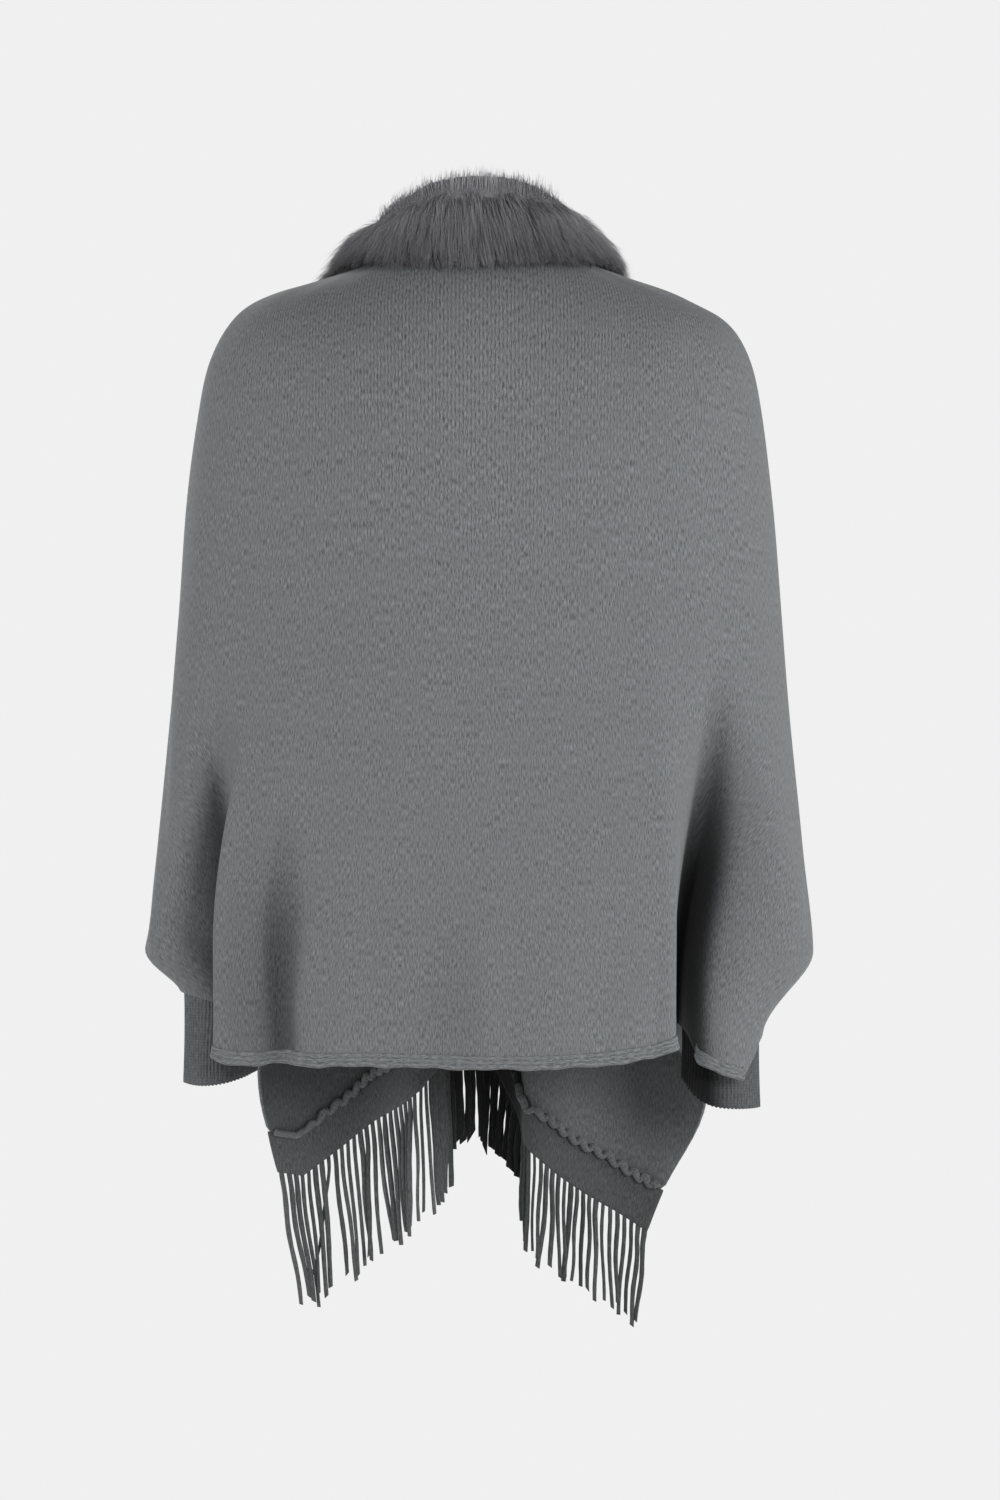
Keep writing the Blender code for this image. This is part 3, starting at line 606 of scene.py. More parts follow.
def knit_finish(name, light_hex, dark_hex, wale, course, slant, warp, groove, grain, patches, sheen,
                opens=False):
    """Stocking stitch seen from its face or its reverse. slant is how steep the legs of the V lie,
    warp how far the yarn strays in metres, groove the share of the pattern that is the ribs, grain
    the share that is loose yarn, and patches how much the contrast comes and goes. With opens, the
    ribs show more where the piece's own value says that the wales stand open."""
    finish, tree, shader = new_finish(name)
    place = add_node(tree, "ShaderNodeUVMap", uv_map="cloth")
    stray = add_node(tree, "ShaderNodeTexNoise", {
        "Vector": place, "Scale": STRAY_SCALE, "Detail": 2.0, "Roughness": 0.6}).outputs["Color"]
    centred = add_node(tree, "ShaderNodeVectorMath", {0: stray, 1: (0.5, 0.5, 0.5)},
                       operation="SUBTRACT")
    strayed = add_node(tree, "ShaderNodeVectorMath", {
        0: centred, 1: (warp, 2.2 * warp, 0.0), 2: place}, operation="MULTIPLY_ADD")
    split = add_node(tree, "ShaderNodeSeparateXYZ", {0: strayed}).outputs
    across = add_node(tree, "ShaderNodeMath", {0: split["X"], 1: wale}, operation="DIVIDE")
    along = add_node(tree, "ShaderNodeMath", {0: split["Y"], 1: course}, operation="DIVIDE")
    leg = add_node(tree, "ShaderNodeMath", {0: across, 1: 0.5}, operation="PINGPONG")
    rib = add_node(tree, "ShaderNodeMath", {0: leg, 1: 2.0}, operation="MULTIPLY")
    lean = add_node(tree, "ShaderNodeMath", {0: leg, 1: slant, 2: along}, operation="MULTIPLY_ADD")
    loop = add_node(tree, "ShaderNodeMath", {0: lean, 1: 0.5}, operation="PINGPONG")
    stitch = add_node(tree, "ShaderNodeMath", {0: loop, 1: 2.0}, operation="MULTIPLY")
    height = add_node(tree, "ShaderNodeMix", {0: groove, 2: stitch, 3: rib}, data_type="FLOAT")
    stretched = add_node(tree, "ShaderNodeVectorMath", {
        0: strayed, 1: (1 / YARN, 1 / YARN_RUN, 0.0)}, operation="MULTIPLY")
    yarn = add_node(tree, "ShaderNodeTexNoise", {
        "Vector": stretched, "Scale": 1.0, "Detail": 1.0, "Roughness": 0.5})
    yarn_tone = add_node(tree, "ShaderNodeMapRange", {
        "Value": yarn, "From Min": 0.34, "From Max": 0.66})
    strength = 1.0
    if opens:
        wales = add_node(tree, "ShaderNodeAttribute", attribute_name="open").outputs["Fac"]
        grain = add_node(tree, "ShaderNodeMapRange", {
            "Value": wales, "To Min": 1.0, "To Max": grain})
        strength = add_node(tree, "ShaderNodeMapRange", {
            "Value": wales, "To Min": CLOSED_CONTRAST, "To Max": OPEN_CONTRAST})
    fuzzy = add_node(tree, "ShaderNodeMix", {0: grain, 2: height, 3: yarn_tone}, data_type="FLOAT")
    patch = add_node(tree, "ShaderNodeTexNoise", {
        "Vector": place, "Scale": PATCH_SCALE, "Detail": 3.0, "Roughness": 0.6})
    contrast = add_node(tree, "ShaderNodeMapRange", {
        "Value": patch, "From Min": 0.35, "From Max": 0.65, "To Min": 1.0 - patches, "To Max": 1.0})
    centred_height = add_node(tree, "ShaderNodeMath", {0: fuzzy, 1: 0.5}, operation="SUBTRACT")
    shown = add_node(tree, "ShaderNodeMath", {0: contrast, 1: strength}, operation="MULTIPLY")
    tone = add_node(tree, "ShaderNodeMath", {0: centred_height, 1: shown, 2: 0.5},
                    operation="MULTIPLY_ADD")
    colour = add_node(tree, "ShaderNodeMapRange", {
        "Value": tone, "From Min": 0.22, "From Max": 0.78})
    shade = add_node(tree, "ShaderNodeMix", {
        0: colour, 6: linear(dark_hex), 7: linear(light_hex)}, data_type="RGBA")
    rows_of_dye = add_node(tree, "ShaderNodeVectorMath", {0: place, 1: DYE_SCALES},
                           operation="MULTIPLY")
    melange = add_node(tree, "ShaderNodeTexNoise", {
        "Vector": rows_of_dye, "Scale": 1.0, "Detail": 3.0, "Roughness": 0.55})
    cloudy = add_node(tree, "ShaderNodeMapRange", {
        "Value": melange, "From Min": 0.3, "From Max": 0.7, "To Min": 0.975, "To Max": 1.025})
    tinted = add_node(tree, "ShaderNodeVectorMath", {0: shade, "Scale": cloudy}, operation="SCALE")
    bump = add_node(tree, "ShaderNodeBump", {
        "Height": tone, "Strength": 0.45, "Distance": 0.6 * MM})
    set_inputs(shader, {
        "Base Color": tinted, "Normal": bump, "Roughness": 0.92, "Specular IOR Level": 0.2,
        "Sheen Weight": sheen, "Sheen Roughness": 0.45})
    return finish


def shaded_by_fold(finish):
    """Darkens a finish by the piece's own shade value: painted shade, in folds and on cuffs."""
    tree = finish.node_tree
    shader = tree.nodes["Principled BSDF"]
    colour = shader.inputs["Base Color"].links[0].from_socket
    shade = add_node(tree, "ShaderNodeAttribute", attribute_name="shade").outputs["Fac"]
    darker = add_node(tree, "ShaderNodeVectorMath", {0: colour, "Scale": shade}, operation="SCALE")
    set_inputs(shader, {"Base Color": darker})
    return finish


# %% Finishes of the knitted pieces
knit_face = shaded_by_fold(knit_finish("acrylic_stocking_stitch_face", "#919497", "#545657",
                                       WALE, COURSE, 1.3, 0.6 * MM, 0.80, 0.55, 0.35, 0.26, True))
# painted shade: the reverse is coloured darker than the face, for the garment's dark inside
knit_reverse = knit_finish("acrylic_stocking_stitch_reverse", "#707374", "#565859",
                           WALE, 1.6 * MM, 0.5, 2.2 * MM, 0.25, 0.75, 0.4, 0.12)
# painted shade: the rib is coloured darker than the face, for its deep ribs and the sleeve above
knit_rib = shaded_by_fold(knit_finish("acrylic_rib", "#7D7F81", "#56585A",
                                      1.5 * MM, COURSE, 1.0, 0.8 * MM, 0.35, 0.5, 0.3, 0.15))
knit_hem = knit_finish("acrylic_rolled_hem", "#8A8D8E", "#5D6062",
                       3.4 * MM, 2.6 * MM, 0.6, 1.0 * MM, 0.8, 0.6, 0.4, 0.26)
# painted shade: the trim is coloured darker than the face, as bands and strands hang in shade
knit_trim = shaded_by_fold(knit_finish("acrylic_trim_knit", "#6F7172", "#515354",
                                       2.2 * MM, 2.6 * MM, 0.8, 1.6 * MM, 0.55, 0.7, 0.4, 0.15))
knit_cord = shaded_by_fold(knit_finish("acrylic_crochet_cord", "#8C8E8F", "#5C5E60",
                                       2.0 * MM, 2.0 * MM, 0.8, 0.6 * MM, 0.4, 0.4, 0.3, 0.2))
knits = (knit_face, knit_reverse, knit_rib, knit_hem, knit_trim, knit_cord)
print("finishes:", ", ".join(finish.name for finish in knits))

# %% [markdown]
# ## Back and fronts
# Each panel is a wall 2.4 mm thick. Its columns are spread evenly along a low ring, where the
# folds are deepest, and its rows evenly down the cloth. The wales run straight down from the
# shoulder, so the UV's first coordinate is the distance from the middle of the back, or from the
# front edge, measured round each ring. In the folds above the cuffs the real cloth is gathered,
# so there the distance is eased between a few anchor angles to keep the wales upright.

# %% Where the stitches lie on the flat cloth
GRID = 4.8  # greatest distance between neighbouring points, millimetres
STRAIGHT_RING = 9.0  # below this ring the wales keep the places that they have there
PANELS = {  # first angle, last angle, where the wales start, and the anchor angles
    "back_panel": (0.0, 180.0, 90.0, (0, 32, 60, 90, 120, 140, 158, 180)),
    "front_left": (-88.0, 0.0, -88.0, (-88, -66, -51, -33, -13, 0)),
    "front_right": (180.0, 268.0, 268.0, (180, 193, 212, 235, 249, 268)),
}


def flat_place(angle, at_ring, start, anchors):
    """The UV of a grid of points, in millimetres."""
    fine = np.linspace(anchors[0], anchors[-1], 900)
    rings = np.linspace(0, at_ring.max(), 130)
    spots = cloth(fine[None, :], rings[:, None])
    run = np.array([run_along(row) for row in spots])
    run -= np.array([np.interp(start, fine, row) for row in run])[:, None]
    held = np.interp(anchors, fine, run[np.searchsorted(rings, STRAIGHT_RING)])
    for k in np.flatnonzero(rings > STRAIGHT_RING):
        run[k] = np.interp(run[k], np.interp(anchors, fine, run[k]), held)
    fall = np.diff(spots, axis=0)
    tangent = unit(np.gradient(spots, axis=1)[:-1])
    fall = fall - (fall * tangent).sum(axis=2, keepdims=True) * tangent
    drop = np.cumsum(np.linalg.norm(fall, axis=2), axis=0)
    drop = np.concatenate([np.zeros((1, len(fine))), drop])
    drop -= drop[np.searchsorted(rings, LEVEL_RING)]
    column_at = (angle - fine[0]) / (fine[1] - fine[0])
    row_at = at_ring / (rings[1] - rings[0])
    c = np.clip(column_at.astype(int), 0, len(fine) - 2)
    r = np.clip(row_at.astype(int), 0, len(rings) - 2)
    u, v = np.clip(column_at - c, 0, 1), np.clip(row_at - r, 0, 1)

    def read(table):
        upper = table[r, c] * (1 - u) + table[r, c + 1] * u
        lower = table[r + 1, c] * (1 - u) + table[r + 1, c + 1] * u
        return upper * (1 - v) + lower * v

    return np.stack([read(run), read(drop)], axis=-1)


# %% A panel's grid
WIDE_RINGS = (7.0, 10.8)  # where the columns are spread evenly


def even_angles(first, last, spacing):
    """Angles from first to last, an even distance apart where the cloth is widest."""
    fine = np.linspace(first, last, 4000)
    run = sum(run_along(cloth(fine, level)) for level in WIDE_RINGS) / len(WIDE_RINGS)
    return read_evenly(run, fine, int(run[-1] / spacing) + 2)


def even_shares(angle, spacing):
    """Shares of a fall line an even distance apart."""
    last = ring_at(hem_height(angle))
    fine = np.linspace(0, last, 2000)
    run = run_along(cloth(angle, fine))
    return read_evenly(run, fine, int(run[-1] / spacing) + 2) / last


def panel_grid(name):
    """The angle and ring of each point of a panel. A front's columns lean out to the neck."""
    first, last = PANELS[name][:2]
    angles = even_angles(first, last, GRID)
    shares = even_shares((first + last) / 2, GRID)
    at_ring = np.outer(shares, ring_at(hem_height(angles)))
    angle = np.tile(angles, (len(shares), 1))
    if name != "back_panel":
        lean = ring("edge", at_ring) / FRONT_EDGE
        angle = np.where(angles > 90, 180 + (angle - 180) * lean, angle * lean)
    return angle, at_ring


def make_panel(name):
    angle, at_ring = panel_grid(name)
    start, anchors = PANELS[name][2:]
    along, _, out = cloth_frame(angle, at_ring)
    outer = cloth(angle, at_ring) + out * relief(angle, at_ring)[..., None]
    outer[:, 0] += along[:, 0] * SEAM / 2
    outer[:, -1] -= along[:, -1] * SEAM / 2
    uv = flat_place(angle, at_ring, start, anchors).reshape(-1, 2)
    points, faces, source = wall(outer, outer - out * CLOTH)
    reverse = np.zeros(len(faces), np.int32)
    reverse[1:2 * (angle.shape[0] - 1) * (angle.shape[1] - 1):2] = 1
    piece = make_piece(name.replace("_panel", "") + "_knit", points, faces,
                       (knit_face, knit_reverse), uv[source], reverse)
    keep_values(piece, "shade", fold_light(angle, at_ring).ravel()[source])
    keep_values(piece, "open", open_wales(at_ring).ravel()[source])
    print(piece.name, angle.shape, triangles(piece), "triangles")
    return piece


back, front_left, front_right = (make_panel(name) for name in PANELS)

# %% [markdown]
# ## Hem
# The back's lower edge is turned up and rolled, and two rows of stitches hold it. The roll is a
# tube with a flat side, drawn along the edge. It swells and shrinks a little, because the cloth
# inside it is bunched.

# %% Rolled hem
HEMS = {"back_hem": (27.0, 141.0), "sleeve_hem": (154.0, 167.0)}
HEM_SECTION = (  # height above the edge and distance out of the cloth
    (-0.8, 0.3), (3.0, 0.3), (6.0, 0.3), (9.2, 0.3), (9.0, 0.6), (8.2, 0.8), (7.4, 0.7),
    (6.4, 1.1), (5.2, 1.2), (4.2, 1.0), (3.4, 1.2), (2.4, 1.7), (1.2, 2.0), (0.0, 2.0), (-1.0, 1.7),
    (-1.4, 1.0),
)
HEM_SWELL = ((0.10, 7.1, 0), (0.07, 3.3, 1), (0.05, 17, 2))  # height as a share, length, phase
HEM_DIPS = ((0.5, 9.3, 0.7), (0.4, 4.1, 0))  # the same, with the height in millimetres
HEM_END = 0.4  # degrees that the roll stops short of the hem's ends
HEM_STEP = 2.0  # from one section of the roll to the next, millimetres
DIPS_BELOW = 3.0  # only the lower part of the section dips


def ripple(run, waves):
    """A sum of waves along a run. A wave's length is what it runs for one radian."""
    return sum(high * np.sin(run / long + phase) for high, long, phase in waves)


def tube_faces(sections, size, closed=False):
    """Faces between loops of points: closed into a ring, or with a cap on both ends."""
    faces = []
    for k in range(sections if closed else sections - 1):
        near, far = k * size, (k + 1) % sections * size
        for i in range(size):
            j = (i + 1) % size
            faces.append((near + i, near + j, far + j, far + i))
    if not closed:
        faces.append(tuple(range(size))[::-1])
        faces.append(tuple((sections - 1) * size + i for i in range(size)))
    return faces


def hem_angles(name, spacing):
    """Angles an even distance apart along a hem, and the distance run along it."""
    first, last = HEMS[name]
    fine = np.linspace(first + HEM_END, last - HEM_END, 3000)
    run = run_along(cloth(fine, ring_at(hem_height(fine))))
    angles = np.interp(np.arange(0, run[-1], spacing), run, fine)
    return angles, run_along(cloth(angles, ring_at(hem_height(angles))))


def hem_face(angles, up, out):
    """Points over the cloth near its lower edge: up above the edge, out of the face."""
    at_ring = ring_at(hem_height(angles)) - max(up, 0) / LEVEL_STEP
    _, down, normal = cloth_frame(angles, at_ring)
    lift = relief(angles, at_ring) + out
    return cloth(angles, at_ring) + normal * np.reshape(lift, (-1, 1)) - down * min(up, 0)


def make_hem(name):
    angles, run = hem_angles(name, HEM_STEP)
    swell, dips = 1 + ripple(run, HEM_SWELL), ripple(run, HEM_DIPS)
    loops, uv, length = [], [], 0.0
    for k, (up, out) in enumerate(HEM_SECTION):
        loop = hem_face(angles, up, SEAM if out == SEAM else out * swell)
        if up < DIPS_BELOW:
            loop[:, 2] -= dips
        loops.append(loop)
        length += math.dist(HEM_SECTION[k], HEM_SECTION[k - 1]) if k else 0
        uv.append(np.stack([np.full(len(run), length), run], axis=-1))
    piece = make_piece(name + "_roll", np.stack(loops, axis=1),
                       tube_faces(len(angles), len(HEM_SECTION)), (knit_hem,), np.stack(uv, axis=1))
    print(piece.name, triangles(piece), "triangles")
    return outward(piece)


back_hem, sleeve_hem = (make_hem(name) for name in HEMS)

# %% [markdown]
# ## Cuffs
# A cuff is a tube of fine rib. Its ridges and grooves are real relief, 60 of them, a little uneven
# in depth as rib is where the wrist has stretched it. The tube narrows at its middle and its lower
# edge flares.

# %% Ribbed cuffs
CUFF_WALL = 2.2
CUFF_COLUMNS = ("side", "x", "y", "half_x", "half_y", "top", "low_outside", "low_inside",
                "turns_up", "sags", "light", "light_inside")
# light and light_inside are painted shade: the share of light left in the cuff's colour outside, and
# on its side by the body, which lies deeper in shade
CUFFS = {
    "cuff_left": (1, 202.0, 5.0, 28.6, 30.0, -568.0, -650.0, -641.0, 1.0, 5.0, 0.97, 0.62),
    "cuff_right": (-1, 187.4, 3.0, 30.6, 31.0, -590.0, -669.5, -647.0, 5.0, 0.0, 0.71, 0.08),
}
RIBS, RIB_POINTS, CUFF_ROWS = 60, 5, 18
RIB_PROUD = 0.6  # how far the ridges stand out of the tube, millimetres
WAIST, TOP = 0.9, 0.4  # how much the tube narrows at its middle and at its top, millimetres
RIB_WANDER, RIB_SCALLOP = 0.6, 0.5  # radians round the tube, and millimetres along the lower edge
INSIDE_FROM, INSIDE_FULL = 0.36, 0.72  # where it turns to the body, as shares of the way round


def cuff_edge(cuff, inward, turn):
    """Height of a cuff's lower edge: it turns up towards the body, and sags between its sides."""
    rise = (cuff["low_inside"] - cuff["low_outside"]) * inward ** cuff["turns_up"]
    return cuff["low_outside"] + rise - cuff["sags"] * np.sin(turn) ** 2


def make_cuff(name):
    cuff = dict(zip(CUFF_COLUMNS, CUFFS[name]))
    count = RIBS * RIB_POINTS
    turn = np.linspace(0, ROUND, count, endpoint=False)
    inward = (1 - np.cos(turn)) / 2
    low = cuff_edge(cuff, inward, turn) + RIB_SCALLOP * np.cos(RIBS * turn)
    outer, inner, uv = [], [], []
    for share in np.linspace(0, 1, CUFF_ROWS):
        waist = -WAIST * math.sin(math.pi * min(share, 0.98)) - TOP * (1 - share)
        wander = 0.05 * np.sin(3 * turn + 4 * share) + 0.03 * np.sin(5 * turn - 7 * share)
        depth = 0.75 + 0.2 * np.sin(4 * turn + 1) + 0.15 * np.sin(9 * turn + 3 * share)
        rise = depth * (np.cos(RIBS * (turn + wander * RIB_WANDER)) - 1) / 2
        height = cuff["top"] + share * (low - cuff["top"])
        for loops, grow in ((outer, waist + rise + RIB_PROUD), (inner, waist - CUFF_WALL)):
            loops.append(np.stack([
                cuff["side"] * (cuff["x"] + (cuff["half_x"] + grow) * np.cos(turn)),
                cuff["y"] + (cuff["half_y"] + grow) * np.sin(turn),
                height], axis=-1))
        uv.append(np.stack([turn * cuff["half_x"], cuff["top"] - height], axis=-1))
    levels = outer + inner[::-1]
    piece = outward(make_piece(name + "_rib", levels, tube_faces(len(levels), count, closed=True),
                               (knit_rib,), uv + uv[::-1]))
    # painted shade, growing towards the cuff's side by the body
    inside = smooth_step((inward - INSIDE_FROM) / (INSIDE_FULL - INSIDE_FROM))
    light = cuff["light"] + (cuff["light_inside"] - cuff["light"]) * inside
    keep_values(piece, "shade", np.tile(light, len(levels)))
    print(piece.name, triangles(piece), "triangles")
    return piece


cuff_left, cuff_right = (make_cuff(name) for name in CUFFS)

# %% [markdown]
# ## Bands and braids
# Below each front hangs a plain strip of knit, and a braid covers the seam on the inside. The
# braid is a soft cord that is sewn down in waves. Both are drawn from points that hang below the
# front's own lower edge, so they follow its folds.

# %% Points that hang below a front
BAND_HEIGHT, ROOT_HEIGHT = 33.0, 5.0
TRIM_COLUMNS = ("outer", "crest", "edge", "narrows", "straight", "light", "strand", "lean",
                "short", "short_edge", "crossing", "seed")
# angles of a front's outer corner, its fold's crest and its edge; how the band narrows, as a share;
# the braid's run before it waves (below 0, it waves from its start); the share of light; a strand's
# length and lean, and its length just behind the fold and at the edge, as shares; which strand has
# swung across its neighbours; and the seed
TRIM_ROWS = {
    "left": (-33.0, -75.5, -FRONT_EDGE, 0.045, 24, 0.98, 100.0, 0.12, 0.66, 0.88, 7, 21),
    "right": (218.5, 251.6, 180.0 + FRONT_EDGE, 0.075, -30, 0.65, 75.0, 0.05, 0.44, 1.0, None, 34),
}
TRIMS = {side: dict(zip(TRIM_COLUMNS, row)) for side, row in TRIM_ROWS.items()}
CALM_RING = 13  # below this ring the creases go on as they are there
FOLD_SHADE, FOLD_SPREAD = 0.20, 2.0  # the light left behind a fold, and over how many degrees


def hang(side, angle, below):
    """Points of the outer face and its normals below a front's lower edge."""
    cut = TRIMS[side]
    share = cut["narrows"] * below / (BAND_HEIGHT + ROOT_HEIGHT)
    inward = angle + (cut["edge"] - angle) * share
    at_ring = ring_at(hem_height(angle) - below)
    _, _, out = cloth_frame(inward, at_ring)
    lift = relief(inward, np.minimum(at_ring, CALM_RING))
    return cloth(inward, at_ring) + out * lift[..., None], out


def along_edge(side, spacing):
    """Angles an equal distance apart along a front's lower edge, outer corner first."""
    fine = np.linspace(TRIMS[side]["outer"], TRIMS[side]["edge"], 3000)
    run = run_along(hang(side, fine, 0.0)[0])
    return read_evenly(run, fine, int(run[-1] / spacing) + 1), run[-1]


def past_fold(side, angle):
    """0 outside a front's inward fold, and 1 in it."""
    outer, crest = TRIMS[side]["outer"], TRIMS[side]["crest"]
    return smooth_step((np.abs(angle - outer) - abs(crest - outer)) / FOLD_SPREAD)


def trim_light(side, angle):
    """Hardly any light gets behind a front's inward fold."""
    return TRIMS[side]["light"] * (1 + (FOLD_SHADE - 1) * past_fold(side, angle))


# %% Bands
BAND_ROWS, BAND_STEP = 12, 2.6  # rows down the band, and millimetres between its columns


def make_band(side):
    angles, length = along_edge(side, BAND_STEP)
    run = np.linspace(0, length, len(angles))
    levels = np.linspace(SEAM, BAND_HEIGHT - SEAM, BAND_ROWS)
    outer, out = (np.array(rows) for rows in zip(*(hang(side, angles, below) for below in levels)))
    points, faces, source = wall(outer, outer - out * CLOTH)
    places = np.stack(np.broadcast_arrays(run, levels[:, None]), axis=-1).reshape(-1, 2)[source]
    piece = outward(make_piece("band_%s_knit" % side, points, faces, (knit_trim,), places))
    # painted shade on the band's inner face behind the fold; the outer face keeps the side's share
    light = np.tile(trim_light(side, angles), BAND_ROWS)[source]
    light[:outer.size // 3] = TRIMS[side]["light"]
    keep_values(piece, "shade", light)
    print(piece.name, round(length), "mm long,", triangles(piece), "triangles")
    return piece


bands = {side: make_band(side) for side in TRIMS}

# %% Braids
BRAID_RADIUS, BRAID_WAVE, BRAID_SWING = 2.8, 12.5, 2.5
BRAID_SIDES, BRAID_STEP = 12, 1.3
WAVE_IN = 30  # millimetres in which a straight braid comes to wave in full


def make_braid(side):
    angles, length = along_edge(side, BRAID_STEP)
    angles = angles[3:-3]
    run = np.linspace(0, length, len(angles))
    path, out = hang(side, angles, 0.0)
    path = path - out * (CLOTH + 2 * SEAM + BRAID_RADIUS)
    wavy = np.clip((run - TRIMS[side]["straight"]) / WAVE_IN, 0, 1)
    phase = run * ROUND / BRAID_WAVE + 1.4 * np.sin(run / 19)
    path[:, 2] += wavy * BRAID_SWING * (np.sin(phase) + 0.35 * np.sin(run / 8.3 + 1))
    tangent = unit(np.gradient(path, axis=0))
    across = unit(np.cross(tangent, out))
    depth = np.cross(across, tangent)
    around = np.linspace(0, ROUND, BRAID_SIDES, endpoint=False)
    radius = BRAID_RADIUS * (1 + 0.18 * np.sin(phase + 0.5) * wavy)
    spin = around[None, :] + run[:, None] * 0.5
    twist = radius[:, None] * (1 + 0.05 * np.cos(2 * spin))
    rings = (path[:, None] + (twist * np.cos(around))[..., None] * across[:, None]
             + (twist * np.sin(around))[..., None] * depth[:, None])
    places = np.stack(np.broadcast_arrays(around[None, :] * BRAID_RADIUS, run[:, None]), axis=-1)
    piece = make_piece("braid_%s_cord" % side, rings, tube_faces(len(path), BRAID_SIDES),
                       (knit_cord,), places)
    # painted shade on the braid behind the fold
    keep_values(piece, "shade", np.repeat(trim_light(side, angles), BRAID_SIDES))
    print(piece.name, triangles(piece), "triangles")
    return outward(piece)


braids = {side: make_braid(side) for side in TRIMS}

# %% [markdown]
# ## Fringe
# The fringe is the knit itself, cut into strips below the band. A cut strip of stocking stitch
# curls, so each strand is a thin, hollowed ribbon that twists and wavers on its way down, and no
# two are alike in width or length. Neighbours swing together, which leaves gaps between groups.
# Behind the fronts' inward folds the strands hang close, and there they swing over the opening.

# %% Fringe strands
STRAND_PITCH, STRAND_WIDTH = 7.0, 4.5
STRAND_STEPS = 28
FACES_BACK = 0.85  # how far a strand that hangs edge-on curls round to face the back
GROUP_SWING, CLOSE_SWING, CLOSE_WIDER = 3.0, 3.4, 1.95
NEAR_FROM = 0.55  # the share of the fringe from which strands swing over the opening
CLOSE_OFF = 4.5  # how far the last ones lie over it right from their roots
CROSSING_SWING, CROSSING_BACK = 26.0, 5.0  # how far the crossing strand swings aside, and outwards
TUCKED, APART = 2.0, 1.7  # how far the strands reach up the band, and stand apart behind the fold
LENGTHS, WIDTHS, TINTS = (0.95, 1.05), (0.72, 1.18), (0.78, 1.08)  # the least and most, as shares
TWIST, SWAY, FORTH, SLANT = 0.4, 1.8, 2.0, 0.35  # how much strands differ: radians, mm, mm, share
BEND, LATE_BEND = 1.5, 1.6  # the powers with which a strand leaves its straight line
OUTER_FACE = 0.5  # depth in the section from which a point is on the strand's outer face
SECTION_DEPTH = 1.9  # millimetres for one of the section's depth
STRAND_SECTION = ((-0.5, 0.1), (-0.36, 0.5), (0.0, 0.62), (0.36, 0.5), (0.5, 0.1),
                  (0.36, -0.4), (0.0, -0.3), (-0.36, -0.4))


